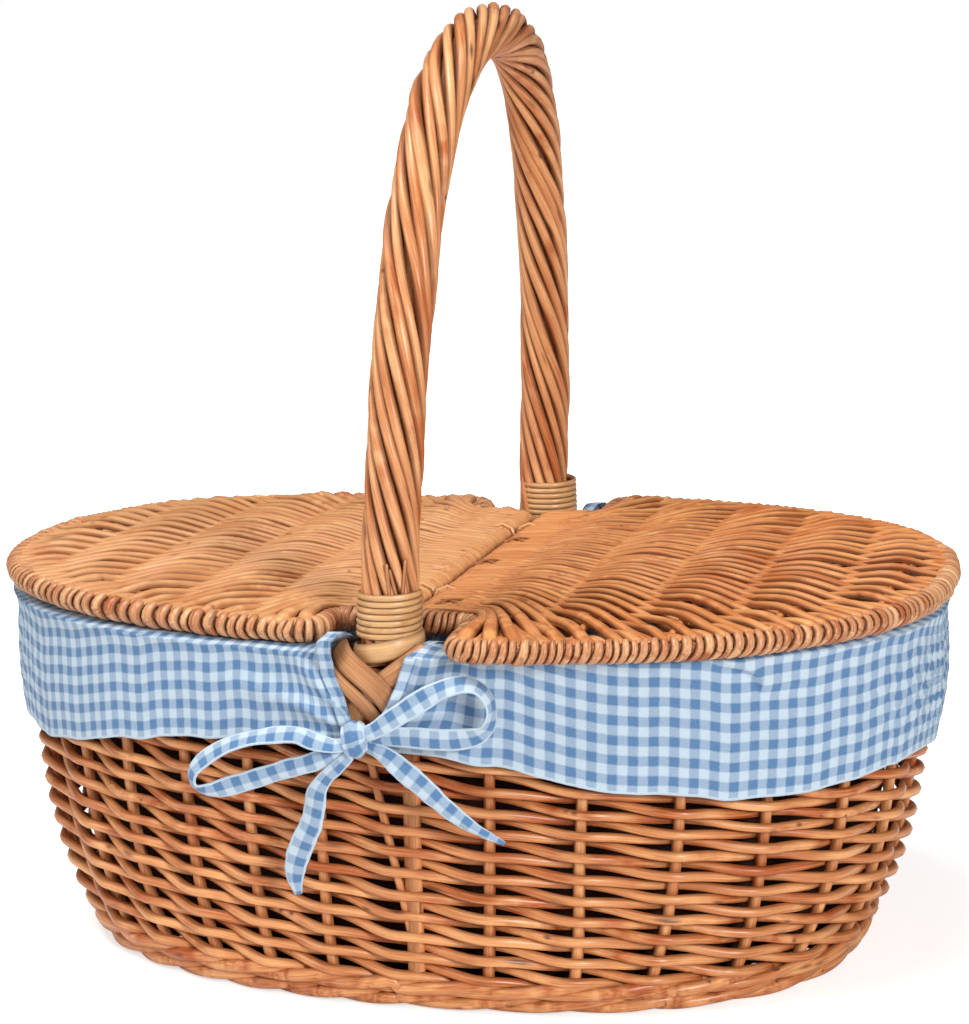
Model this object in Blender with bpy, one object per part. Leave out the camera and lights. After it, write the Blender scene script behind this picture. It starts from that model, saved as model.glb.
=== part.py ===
"""Oval willow picnic basket with two hinged half lids, a roped hoop handle and a cloth liner.

The basket stands on the plane z = 0 with its centre on the z axis. The long axis of the oval runs
along x, and the handle stands over the short axis, in the plane x = 0. Each lid turns about the
straight side of its own hoop, next to the seam between the two lids.
"""
import math

import bpy
import bmesh
import numpy as np
from mathutils import Vector

# Driving dimensions, in metres
CLEARANCE = 0.0003            # gap between pieces that touch in the real basket
OVAL_POWER_SHARE = 0.86       # 1 is an ellipse, and smaller values give a fuller oval
BAND_SHARES = (0.0, 0.35, 0.65, 1.0)     # sections along a strap, a rib or a ribbon's tail

# Oval of the woven body
TOP_HALF_LENGTH = 0.206
TOP_HALF_WIDTH = 0.1435
FOOT_HALF_LENGTH = 0.1785
FOOT_HALF_WIDTH = 0.1345
WALL_HEIGHT = 0.1465
SIDE_SWELL_SHARE = 0.60       # power of the side's curve, smaller turns in later towards the foot

# Foot wale and bottom
FOOT_WALE_WIDTH = 0.012
FOOT_WALE_HEIGHT = 0.009
FOOT_WALE_ROUNDING = 0.0028
BOTTOM_THICKNESS = 0.008
BOTTOM_LIFT = 0.0015
BOTTOM_STICK_COUNT = 9
BOTTOM_STICK_RELIEF = 0.0012

# Side weave
STAKE_COUNT = 28
ROUND_PITCH = 0.0093
ROUND_RELIEF = 0.0016
WEAVE_DEPTH_AT_STAKE = 0.0034
WEAVE_DEPTH_BETWEEN = 0.0082
STAKE_WIDTH = 0.0052
STAKE_BEVEL = 0.0014
STAKE_DEPTH = 0.0046          # outer face of a stake, inwards from the outside of the weave
STAKE_LEVEL_SHARES = (0.5, 0.16, 0.04, 0.0)

# Border, turned down from the tops of the stakes
BORDER_HEIGHT = 0.0080
BORDER_OUTSTAND = 0.0006
BORDER_WIDTH = 0.0158
BORDER_TOP_WIDTH = 0.0090

# Handle
HANDLE_FOOT_HALF_SPAN = 0.135
HANDLE_RISE = 0.242           # apex of the hoop's centre line above the border
HANDLE_POWER_SHARE = 0.83
HANDLE_LEAN = 0.0074           # sideways, at the apex
CORE_RADIUS = 0.0062
CORE_TAIL_RADIUS = 0.0026
CORE_TAIL_LENGTH = 0.075
CORE_TAIL_SHARES = (0.0, 0.3, 0.6, 0.88, 1.0)
CORE_SHOULDER = 0.007
STRAND_COUNT = 12
STRAND_RADIUS = 0.0021
STRAND_TURN_LENGTH = 0.200    # length of handle for one whole turn of the strands
STRAND_SLACK = 0.0009
STRAND_STEPS = 32

# Cane binding round each foot of the handle
BINDING_RADIUS = 0.00105
BINDING_PITCH = 0.0026
BINDING_TURNS = 6
BINDING_STEPS = 14
LEAST_WINDING_GAP = 0.0004

# Crossed strap below each binding
STRAP_WIDTH = 0.010
STRAP_THICKNESS = 0.0026
STRAP_HALF_SPREAD = 0.010
STRAP_DROP = 0.034
STRAP_LAYER_GAP = 0.0008

# Crossbar and hinge loops
CROSSBAR_RADIUS = 0.0040
HINGE_LOOP_RADIUS = 0.00075
HINGE_LOOP_SLACK = 0.00035
HINGE_LOOP_PLACE = 0.070      # distance of each loop from the middle of the seam
HINGE_NOTCH_WIDTH = 0.0030
HINGE_LOOP_STEPS = 12
HINGE_WAIST_SHARE = 0.3       # height of the loop's waist between the crossbar and the hinge line

# Lids
SEAM_GAP = 0.0022
LID_HALF_LENGTH = 0.213
LID_LEFT_HALF_WIDTH = 0.1465
LID_RIGHT_HALF_WIDTH = 0.167
LID_RIM_RADIUS = 0.0052
LID_REST = 0.156              # underside of the lid rims
LID_EDGE_HALF_LENGTH = 0.1185
LID_NOTCH = 0.0265            # distance of the lid's corner from the middle of the handle
LID_NOTCH_ROUNDING = 0.0080
LID_CORNER_ROUNDING = 0.0090
LID_CORNER_MARGIN = 0.0018    # clear length between the corner's arc and the oval's first point
LID_PANEL_LINES = 18           # divisions across a lid, two to each raised band
LID_PANEL_LINES_BELOW = 6
LID_PANEL_RELIEF = 0.0013
LID_PANEL_THICKNESS = 0.0030
LID_PANEL_DROP = 0.0010       # top of the panel's edge below the top of the rim
LID_DOME = 0.0040
RIB_COUNT = 5
RIB_FIRST = 0.0405
RIB_TIP_DISTANCE = 0.0245      # of the last rib from the tip of the lid
RIB_RADIUS = 0.0022

# Cloth
CLOTH_THICKNESS = 0.0009
VALANCE_DROP = 0.058
VALANCE_PULL = 0.022          # the ties pull the hem up by this at each foot of the handle
VALANCE_PULL_REACH = 0.150    # distance along the border over which the pull dies out
VALANCE_STAND_OFF = 0.0024
VALANCE_FLARE = 0.0008
VALANCE_FOLD = 0.0022
VALANCE_FOLD_LENGTH = 0.045
VALANCE_SPLIT = 0.022         # distance of the cloth's end from the middle of the handle
VALANCE_COLUMNS = 28
VALANCE_INNER_TURN = 0.009
LINER_STAND_OFF = 0.0026
LINER_FLOOR_GAP = 0.0010

# Bow tied at each foot of the handle
RIBBON_WIDTH = 0.008
RIBBON_THICKNESS = 0.0009
KNOT_SIZE = 0.0115
KNOT_HEIGHT = 0.1225
KNOT_OFFSET = -0.008
KNOT_OUTLINE = ((0.55, 1.0), (1.0, 0.55), (1.0, -0.55), (0.55, -1.0),
                (-0.55, -1.0), (-1.0, -0.55), (-1.0, 0.55), (-0.55, 1.0))
KNOT_SECTIONS = ((-1.0, 0.6), (-0.5, 1.0), (0.5, 1.0), (1.0, 0.6))     # place and size through the knot
LOOP_OPENING = 0.014
LEFT_LOOP_REACH = 0.064
LEFT_LOOP_FALL = 0.021
RIGHT_LOOP_REACH = 0.0515
RIGHT_LOOP_RISE = 0.0155
LEFT_TAIL_REACH = 0.0255
LEFT_TAIL_DROP = 0.060
RIGHT_TAIL_REACH = 0.056
RIGHT_TAIL_DROP = 0.0333

# Derived places
WALL_FOOT = FOOT_WALE_HEIGHT + CLEARANCE
BORDER_FOOT = WALL_HEIGHT + CLEARANCE
BORDER_TOP = BORDER_FOOT + BORDER_HEIGHT
STAKE_LINE = STAKE_DEPTH + STAKE_WIDTH / 2
STRAND_LINE = CORE_RADIUS + STRAND_RADIUS + STRAND_SLACK
ROPE_RADIUS = STRAND_LINE + STRAND_RADIUS
ROPE_SLANT = math.atan(2 * math.pi * STRAND_LINE / STRAND_TURN_LENGTH)
ROPE_FOOT = BORDER_TOP + CLEARANCE + STRAND_RADIUS * math.sin(ROPE_SLANT)
HINGE_X = SEAM_GAP / 2 + LID_RIM_RADIUS
HINGE_Z = LID_REST + LID_RIM_RADIUS
CLOTH_TOP = LID_REST - CLEARANCE
FRONT = -1
BACK = 1
LEFT = -1
RIGHT = 1


def new_material(name, colour, roughness):
    """Principled material with a plain colour."""
    material = bpy.data.materials.new(name)
    material.use_nodes = True
    shader = material.node_tree.nodes["Principled BSDF"]
    shader.inputs["Base Color"].default_value = (*colour, 1.0)
    shader.inputs["Roughness"].default_value = roughness
    shader.inputs["Metallic"].default_value = 0.0
    return material


def add_mesh(name, verts, faces, material, smooth=True):
    """Object from vertices and faces, with its faces turned outwards."""
    mesh = bpy.data.meshes.new(name)
    mesh.from_pydata([tuple(v) for v in verts], [], faces)
    work = bmesh.new()
    work.from_mesh(mesh)
    bmesh.ops.recalc_face_normals(work, faces=work.faces)
    work.to_mesh(mesh)
    work.free()
    mesh.materials.append(material)
    if smooth:
        mesh.shade_smooth()
        mesh.set_sharp_from_angle(angle=math.radians(40))
    obj = bpy.data.objects.new(name, mesh)
    bpy.context.collection.objects.link(obj)
    return obj


def add_tube(name, points, radius, material, radii=None, cyclic=False, resolution=1):
    """Round rod along a line of points. The radii are shares of the rod's radius."""
    curve = bpy.data.curves.new(name, "CURVE")
    curve.dimensions = "3D"
    curve.bevel_depth = radius
    curve.bevel_resolution = resolution
    curve.use_fill_caps = True
    curve.render_resolution_u = 0
    spline = curve.splines.new("POLY")
    spline.points.add(len(points) - 1)
    for i, point in enumerate(points):
        spline.points[i].co = (*point, 1.0)
        spline.points[i].radius = 1.0 if radii is None else radii[i]
    spline.use_cyclic_u = cyclic
    spline.use_smooth = True
    curve.materials.append(material)
    obj = bpy.data.objects.new(name, curve)
    bpy.context.collection.objects.link(obj)
    return obj


def skin_loops(loops, closed):
    """Faces between rings of equally many points. Open stacks get a face on each end."""
    count = len(loops[0])
    stack = len(loops)
    faces = []
    for k in range(stack if closed else stack - 1):
        low, high = k * count, ((k + 1) % stack) * count
        for i in range(count):
            j = (i + 1) % count
            faces.append((low + i, low + j, high + j, high + i))
    if not closed:
        faces.append(tuple(range(count)))
        faces.append(tuple(range((stack - 1) * count, stack * count)))
    return [p for loop in loops for p in loop], faces


def cut(obj, cutters):
    """Subtracts hidden cutter objects from an object."""
    for cutter in cutters:
        cutter.hide_render = True
        cutter.display_type = "WIRE"
        modifier = obj.modifiers.new("Cut " + cutter.name, "BOOLEAN")
        modifier.operation = "DIFFERENCE"
        modifier.solver = "EXACT"
        modifier.object = cutter


def add_box(name, low, high):
    """Box between two corners."""
    corners = [(x, y, z) for z in (low[2], high[2]) for x, y in
               ((low[0], low[1]), (high[0], low[1]), (high[0], high[1]), (low[0], high[1]))]
    verts, faces = skin_loops([corners[:4], corners[4:]], False)
    return add_mesh(name, verts, faces, WILLOW, smooth=False)


def oval_point(half_length, half_width, angle):
    """Point of the oval, with the angle counted from the front of the basket towards the right."""
    along, across = math.sin(angle), -math.cos(angle)
    return (half_length * math.copysign(abs(along) ** OVAL_POWER_SHARE, along),
            half_width * math.copysign(abs(across) ** OVAL_POWER_SHARE, across))


def even_angles(shares):
    """Oval angles at the given shares of the way round, measured along the border."""
    fine = np.linspace(0, 2 * math.pi, 1441)
    points = np.array([oval_point(TOP_HALF_LENGTH, TOP_HALF_WIDTH, a) for a in fine])
    steps = np.hypot(*np.diff(points, axis=0).T)
    travelled = np.concatenate([[0], np.cumsum(steps)])
    return [float(np.interp((s % 1) * travelled[-1], travelled, fine)) for s in shares]


def wall_level(share):
    """Height at a share of the way up the weave."""
    return WALL_FOOT + (WALL_HEIGHT - WALL_FOOT) * share


def wall_half_axes(z):
    """Half length and half width of the outside of the weave at a height."""
    rise = min(max((z - WALL_FOOT) / (WALL_HEIGHT - WALL_FOOT), 0), 1)
    grow = rise ** SIDE_SWELL_SHARE
    return (FOOT_HALF_LENGTH + (TOP_HALF_LENGTH - FOOT_HALF_LENGTH) * grow,
            FOOT_HALF_WIDTH + (TOP_HALF_WIDTH - FOOT_HALF_WIDTH) * grow)


def wall_point(angle, z, depth=0.0, side=0.0):
    """Point at a depth inwards from the outside of the weave, moved sideways along the oval."""
    a, b = wall_half_axes(z)
    step = math.radians(1)
    here = Vector((*oval_point(a, b, angle), z))
    tangent = Vector((*oval_point(a, b, angle + step), z)) - Vector((*oval_point(a, b, angle - step), z))
    tangent.normalize()
    inward = Vector((-tangent.y, tangent.x, 0))
    return here + inward * depth + tangent * side


def border_length():
    """Length round the outside of the border."""
    fine = [oval_point(TOP_HALF_LENGTH, TOP_HALF_WIDTH, a) for a in np.linspace(0, 2 * math.pi, 361)]
    return float(np.hypot(*np.diff(np.array(fine), axis=0).T).sum())


def make_bottom():
    """Stick-and-weaver bottom: a thin oval, ribbed on top along its sticks."""
    inset = FOOT_WALE_WIDTH + CLEARANCE
    angles = even_angles(np.arange(STAKE_COUNT * 2) / (STAKE_COUNT * 2))
    rim = [wall_point(a, WALL_FOOT, inset).to_2d() for a in angles]
    top = BOTTOM_LIFT + BOTTOM_THICKNESS
    verts, faces = skin_loops([[(p.x, p.y, z) for p in rim] for z in (BOTTOM_LIFT, top)], False)
    bottom = add_mesh("bottom", verts, faces, WILLOW)
    width = 2 * (FOOT_HALF_WIDTH - inset)
    pitch = width / BOTTOM_STICK_COUNT
    reach = FOOT_HALF_LENGTH
    relief = BOTTOM_STICK_RELIEF
    cutters = []
    for i in range(BOTTOM_STICK_COUNT - 1):
        y = -width / 2 + pitch * (i + 1)
        cutters.append(add_box(f"groove_{i + 1}", (-reach, y - relief, top - relief),
                               (reach, y + relief, top + relief)))
    cut(bottom, cutters)


def make_foot_wale():
    """Thick ring of twined rods round the foot, flat where it stands."""
    angles = even_angles(np.arange(STAKE_COUNT * 2) / (STAKE_COUNT * 2))
    r, w, h = FOOT_WALE_ROUNDING, FOOT_WALE_WIDTH, FOOT_WALE_HEIGHT
    section = [(r, 0), (w - r, 0), (w, r), (w, h), (0, h), (0, r)]
    loops = [[(*wall_point(a, WALL_FOOT, depth).to_2d(), z) for a in angles] for depth, z in section]
    verts, faces = skin_loops(loops, True)
    add_mesh("foot_wale", verts, faces, WILLOW)


def make_side_weave():
    """Randed wall: every round of rods is a ridge that stands out where it passes a stake."""
    columns = STAKE_COUNT * 2
    angles = even_angles(np.arange(columns) / columns)
    rounds = max(2, round((WALL_HEIGHT - WALL_FOOT) / ROUND_PITCH))
    rows = rounds * 2
    loops = []
    for row in range(rows + 1):
        z = wall_level(row / rows)
        swing = 1 if row % 2 else -1
        loop = []
        for i, angle in enumerate(angles):
            at_stake = i % 2 == 0
            depth = -ROUND_RELIEF * swing if at_stake else ROUND_RELIEF * swing / 2
            loop.append(wall_point(angle, z, depth))
        loops.append(loop)
    inner_depths = (WEAVE_DEPTH_AT_STAKE, WEAVE_DEPTH_BETWEEN)
    for share in (1.0, *STAKE_LEVEL_SHARES):
        z = wall_level(share)
        loops.append([wall_point(angle, z, inner_depths[i % 2]) for i, angle in enumerate(angles)])
    verts, faces = skin_loops(loops, True)
    add_mesh("side_weave", verts, faces, WILLOW)


def make_stakes_and_border():
    """Stakes rise inside the weave and their tops are turned down into the border, as one piece."""
    half = STAKE_WIDTH / 2
    stakes = even_angles(np.arange(STAKE_COUNT) / STAKE_COUNT)
    middles = even_angles((np.arange(STAKE_COUNT) + 0.5) / STAKE_COUNT)
    columns = []
    for stake, middle in zip(stakes, middles):
        columns += [(stake, -half), (stake, half), (middle, 0.0)]
    outer = -BORDER_OUTSTAND
    inner = BORDER_WIDTH - BORDER_OUTSTAND
    top_margin = (BORDER_WIDTH - BORDER_TOP_WIDTH) / 2
    waist = BORDER_FOOT + BORDER_HEIGHT / 2
    section = [(STAKE_DEPTH, BORDER_FOOT), (outer, waist), (outer + top_margin, BORDER_TOP),
               (inner - top_margin, BORDER_TOP), (inner, waist), (STAKE_DEPTH + STAKE_WIDTH, BORDER_FOOT)]
    loops = [[wall_point(angle, WALL_HEIGHT, depth, side).to_2d().to_3d() + Vector((0, 0, z))
              for angle, side in columns] for depth, z in section]
    verts, faces = skin_loops(loops, True)
    mesh = bpy.data.meshes.new("stakes_and_border")
    mesh.from_pydata([tuple(v) for v in verts], [], faces)
    work = bmesh.new()
    work.from_mesh(mesh)
    bmesh.ops.recalc_face_normals(work, faces=work.faces)
    border_verts = list(work.verts)
    count = len(columns)
    last = (len(section) - 1) * count
    corners = []
    for place, stake in enumerate(stakes):
        if place in (0, STAKE_COUNT // 2):
            continue
        left, right = 3 * place, 3 * place + 1
        ring = [border_verts[k] for k in (left, right, last + right, last + left)]
        work.faces.remove(work.faces.get(ring))
        depths = (STAKE_DEPTH, STAKE_DEPTH, STAKE_DEPTH + STAKE_WIDTH, STAKE_DEPTH + STAKE_WIDTH)
        sides = (-half, half, half, -half)
        for share in STAKE_LEVEL_SHARES:
            raised = Vector((0, 0, 0 if share else CLEARANCE))
            lower = [work.verts.new(wall_point(stake, wall_level(share), d, s) + raised)
                     for d, s in zip(depths, sides)]
            for i in range(4):
                j = (i + 1) % 4
                work.faces.new((ring[i], ring[j], lower[j], lower[i]))
                if i > 1:
                    corners.append((ring[i], lower[i]))
            ring = lower
        work.faces.new(ring)
    bmesh.ops.recalc_face_normals(work, faces=work.faces)
    edges = [work.edges.get(pair) for pair in corners]
    bmesh.ops.bevel(work, geom=edges, offset=STAKE_BEVEL, segments=1, profile=0.5, affect="EDGES")
    work.to_mesh(mesh)
    work.free()
    mesh.materials.append(WILLOW)
    border = bpy.data.objects.new("stakes_and_border", mesh)
    bpy.context.collection.objects.link(border)
    sockets = []
    foot = abs(wall_point(0.0, WALL_HEIGHT, STAKE_LINE).y)
    for side, place in ((FRONT, "front"), (BACK, "back")):
        bpy.ops.mesh.primitive_cylinder_add(vertices=16, radius=CORE_TAIL_RADIUS + CLEARANCE,
                                            depth=BORDER_HEIGHT * 2,
                                            location=(0, side * foot, BORDER_FOOT + BORDER_HEIGHT / 2))
        socket = bpy.context.object
        socket.name = f"handle_socket_{place}"
        sockets.append(socket)
    cut(border, sockets)


def hoop_lean(z):
    """Sideways place of the handle at a height. It leans evenly from its feet to its apex."""
    return HANDLE_LEAN * (z - ROPE_FOOT) / HANDLE_RISE


def hoop_line(steps):
    """Centre line of the handle above the border, from the front foot to the back foot, with its travel."""
    fine = np.linspace(0, math.pi, 721)
    c, s = np.cos(fine), np.sin(fine)
    y = -HANDLE_FOOT_HALF_SPAN * np.sign(c) * np.abs(c) ** HANDLE_POWER_SHARE
    z = ROPE_FOOT + HANDLE_RISE * np.abs(s) ** HANDLE_POWER_SHARE
    travelled = np.concatenate([[0], np.cumsum(np.hypot(np.diff(y), np.diff(z)))])
    at = np.linspace(0, travelled[-1], steps)
    z_at = np.interp(at, travelled, z)
    return hoop_lean(z_at), np.interp(at, travelled, y), z_at, at


def make_handle_core():
    """Bent stick inside the rope of the handle. Its thin ends run down inside the weave."""
    x, y, z, _ = hoop_line(STRAND_STEPS)
    hoop = list(zip(x, y, z))
    tail = []
    for share in CORE_TAIL_SHARES:
        level = BORDER_TOP + CLEARANCE - CORE_TAIL_LENGTH * (1 - share)
        tail.append((0.0, wall_point(0.0, level, STAKE_LINE).y, level))
    far_tail = [(0.0, -p[1], p[2]) for p in reversed(tail)]
    thin = CORE_TAIL_RADIUS / CORE_RADIUS
    hoop = [p for p in hoop if p[2] > BORDER_TOP + CORE_SHOULDER]
    points = tail + hoop + far_tail
    radii = [thin] * len(tail) + [1.0] * len(hoop) + [thin] * len(tail)
    add_tube("handle_core", points, CORE_RADIUS, WILLOW, radii)


def make_handle_strands():
    """Rods twisted round the core like a rope, from one foot to the other."""
    x, y, z, at = hoop_line(STRAND_STEPS * 4)
    tangent = np.stack([np.gradient(y), np.gradient(z)], -1)
    tangent /= np.linalg.norm(tangent, axis=1)[:, None]
    pick = np.linspace(0, len(y) - 1, STRAND_STEPS).astype(int)
    for k in range(STRAND_COUNT):
        turn = 2 * math.pi * (at[pick] / STRAND_TURN_LENGTH + k / STRAND_COUNT)
        out = STRAND_LINE * np.cos(turn)
        points = np.stack([x[pick] + STRAND_LINE * np.sin(turn), y[pick] + out * tangent[pick, 1],
                           z[pick] - out * tangent[pick, 0]], -1)
        add_tube(f"handle_strand_{k + 1}", points.tolist(), STRAND_RADIUS, WILLOW)


def make_foot_bindings():
    """Cane wound round the strands at each foot, one unbroken length each."""
    line = ROPE_RADIUS + CLEARANCE + BINDING_RADIUS
    line /= math.cos(math.pi / BINDING_STEPS)
    count = BINDING_TURNS * BINDING_STEPS + 1
    turn = np.linspace(0, 2 * math.pi * BINDING_TURNS, count)
    rise = BINDING_PITCH * turn / (2 * math.pi)
    _, y, z, _ = hoop_line(STRAND_STEPS * 4)
    height = BORDER_TOP + CLEARANCE + BINDING_RADIUS + rise
    half = len(z) // 2
    leg = -np.interp(height, z[:half], y[:half])
    for side, name in ((FRONT, "foot_binding_front"), (BACK, "foot_binding_back")):
        points = np.stack([hoop_lean(height) + line * np.sin(turn), side * (leg + line * np.cos(turn)), height], -1)
        apart = np.linalg.norm(points[:, None] - points[None], axis=2)
        near = np.abs(np.arange(count)[:, None] - np.arange(count)[None]) < BINDING_STEPS // 2
        gap = np.where(near, np.inf, apart).min() - 2 * BINDING_RADIUS
        print(f"{name}: least gap between turns {gap:.5f} m, wanted over {LEAST_WINDING_GAP:.5f} m")
        add_tube(name, points.tolist(), BINDING_RADIUS, CANE)


def strap_lift(layer):
    """Height of the inner face of a strap above the outside of the weave."""
    return BORDER_OUTSTAND + ROUND_RELIEF + CLEARANCE + layer * (STRAP_THICKNESS + STRAP_LAYER_GAP)


def make_foot_straps():
    """Two broad straps that cross outside the border below each binding."""
    for side, place in ((FRONT, "front"), (BACK, "back")):
        for layer, lean in ((0, side), (1, -side)):
            lift = strap_lift(layer)
            loops = []
            for share in BAND_SHARES:
                z = BORDER_TOP - STRAP_DROP * share
                x = lean * STRAP_HALF_SPREAD * (1 - 2 * share)
                y = wall_half_axes(z)[1] + lift
                slant = lean * STRAP_WIDTH / 2
                loops.append([(x - STRAP_WIDTH / 2, side * y, z - slant / 2),
                              (x + STRAP_WIDTH / 2, side * y, z + slant / 2),
                              (x + STRAP_WIDTH / 2, side * (y + STRAP_THICKNESS), z + slant / 2),
                              (x - STRAP_WIDTH / 2, side * (y + STRAP_THICKNESS), z - slant / 2)])
            verts, faces = skin_loops(loops, False)
            add_mesh(f"foot_strap_{place}_{layer + 1}", verts, faces, WILLOW)


def make_crossbar():
    """Stick across the mouth under the seam, which carries both lids."""
    inner = wall_point(0.0, WALL_HEIGHT, BORDER_WIDTH - BORDER_OUTSTAND).y
    half = abs(inner) - CLEARANCE
    height = BORDER_TOP - CROSSBAR_RADIUS
    add_tube("crossbar", [(0, -half, height), (0, 0, height), (0, half, height)], CROSSBAR_RADIUS, WILLOW,
             resolution=2)


def hinge_loop_line():
    """Closed line of a cane loop: over a lid's hoop, round the crossbar and back up through the seam."""
    reach = HINGE_LOOP_SLACK + HINGE_LOOP_RADIUS
    bar, bar_line = Vector((0.0, BORDER_TOP - CROSSBAR_RADIUS)), CROSSBAR_RADIUS + reach
    rim, rim_line = Vector((HINGE_X, HINGE_Z)), LID_RIM_RADIUS + reach
    between = rim - bar
    outer = math.atan2(between.y, between.x) - math.acos((bar_line - rim_line) / between.length)
    waist = Vector((0.0, bar.y + bar_line)).lerp(Vector((0.0, HINGE_Z)), HINGE_WAIST_SHARE)
    inner = math.pi / 2 + math.acos(bar_line / (waist.y - bar.y)) - 2 * math.pi
    points = [waist]
    half = HINGE_LOOP_STEPS // 2
    for centre, line, start, end in ((rim, rim_line, math.pi, outer), (bar, bar_line, outer, inner)):
        for i in range(half):
            angle = start + (end - start) * i / (half - 1)
            points.append(centre + Vector((math.cos(angle), math.sin(angle))) * line)
    return points


def hinge_loop_place(hand, side):
    """Distance of a hinge loop along the seam. The loops of the two lids sit side by side."""
    return side * (HINGE_LOOP_PLACE + hand * (HINGE_LOOP_RADIUS * 2 + CLEARANCE))


def make_hinge_loops():
    """Cane loops that tie the straight side of each lid hoop to the crossbar."""
    line = hinge_loop_line()
    for hand, name in ((LEFT, "left"), (RIGHT, "right")):
        for side, place in ((FRONT, "front"), (BACK, "back")):
            y = hinge_loop_place(hand, side)
            add_tube(f"hinge_loop_{name}_{place}", [(hand * p.x, y, p.y) for p in line], HINGE_LOOP_RADIUS,
                     CANE, cyclic=True)


def fillet(corners, steps=5):
    """Closed outline through corners (x, y, radius), with an arc at each corner that has a radius."""
    points = []
    for i, (x, y, radius) in enumerate(corners):
        here = Vector((x, y))
        if not radius:
            points.append(here)
            continue
        before = Vector(corners[i - 1][:2]) - here
        after = Vector(corners[(i + 1) % len(corners)][:2]) - here
        half = before.angle(after) / 2
        reach = radius / math.tan(half)
        start, end = here + before.normalized() * reach, here + after.normalized() * reach
        centre = here + (before.normalized() + after.normalized()).normalized() * radius / math.sin(half)
        for k in range(steps + 1):
            spoke = start.lerp(end, k / steps) - centre
            points.append(centre + spoke.normalized() * radius)
    return points


def lid_line(hand, inset):
    """Outline of a lid, inset from the centre line of its hoop, as points in the plane."""
    half_width = LID_LEFT_HALF_WIDTH if hand == LEFT else LID_RIGHT_HALF_WIDTH
    margin = LID_RIM_RADIUS + inset
    a, b = LID_HALF_LENGTH - margin, half_width - margin
    edge = HINGE_X + inset
    notch_x = LID_NOTCH + margin
    notch_y = LID_EDGE_HALF_LENGTH - margin
    start = math.asin((notch_x / a) ** (1 / OVAL_POWER_SHARE))
    corner_x, corner_y = oval_point(a, b, start)
    tip_steps = 18
    curve = [oval_point(a, b, start + (math.pi - 2 * start) * k / tip_steps) for k in range(1, tip_steps)]
    inner = LID_NOTCH_ROUNDING + inset
    outer = max(LID_CORNER_ROUNDING - inset, LID_CORNER_ROUNDING / 4)
    corners = [(notch_x, corner_y, outer)]
    corners += [(x, y, 0.0) for x, y in curve if x > notch_x + LID_CORNER_ROUNDING + LID_CORNER_MARGIN]
    corners += [(notch_x, -corner_y, outer), (notch_x, notch_y, inner), (edge, notch_y, outer),
                (edge, -notch_y, outer), (notch_x, -notch_y, inner)]
    return [Vector((hand * p.x, p.y)) for p in fillet(corners)]


def dome(hand, x, y):
    """Height that the lid's woven face rises above its edge."""
    half_width = LID_LEFT_HALF_WIDTH if hand == LEFT else LID_RIGHT_HALF_WIDTH
    along = (2 * abs(x) / LID_HALF_LENGTH - 1) ** 2
    across = (y / half_width) ** 2
    return LID_DOME * max(0.0, 1 - along) * max(0.0, 1 - across)


def crossing(outline, x):
    """Lowest and highest y where a closed outline crosses the line at x."""
    found = []
    for p, q in zip(outline, outline[1:] + outline[:1]):
        if (p.x - x) * (q.x - x) <= 0 and p.x != q.x:
            found.append(p.lerp(q, (x - p.x) / (q.x - p.x)).y)
    return min(found), max(found)


def rib_places():
    """Distances of a lid's ribs from the middle of the seam, evenly spaced from the first to the last."""
    last = LID_HALF_LENGTH - RIB_TIP_DISTANCE
    return [RIB_FIRST + (last - RIB_FIRST) * k / (RIB_COUNT - 1) for k in range(RIB_COUNT)]


def lid_lines(hand, outline):
    """Lines across a lid's face, as distance from the seam and half width: at the outline's corners and the ribs."""
    lines = [(round(abs(p.x), 6), round(p.y, 6)) for p in outline if p.y > 1e-6]
    lines += [(x, crossing(outline, hand * x)[1]) for x in rib_places()]
    spaced = []
    for x, half in sorted(set(lines)):
        spaced.append((max(x, spaced[-1][0] + 1e-4) if spaced else x, half))
    return spaced


def weave_relief(x, line):
    """Height of a lid's woven bands: up over one rib and down under the next, in turns, and flat along the seam."""
    ribs = rib_places()
    spacing = ribs[1] - ribs[0]
    ramp = min(max((x - ribs[0] + spacing / 2) / (spacing / 2), 0.0), 1.0)
    wave = math.cos(math.pi * (x - ribs[0]) / spacing)
    return LID_PANEL_RELIEF * ramp * wave * (-1) ** line


def make_lid_hoop(hand, name):
    """Bent hoop of a lid with the weavers' turns round it, straight along the seam."""
    points = [(*p, HINGE_Z) for p in lid_line(hand, 0.0)]
    add_tube(f"lid_{name}_hoop", points, LID_RIM_RADIUS, WILLOW, cyclic=True)


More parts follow.
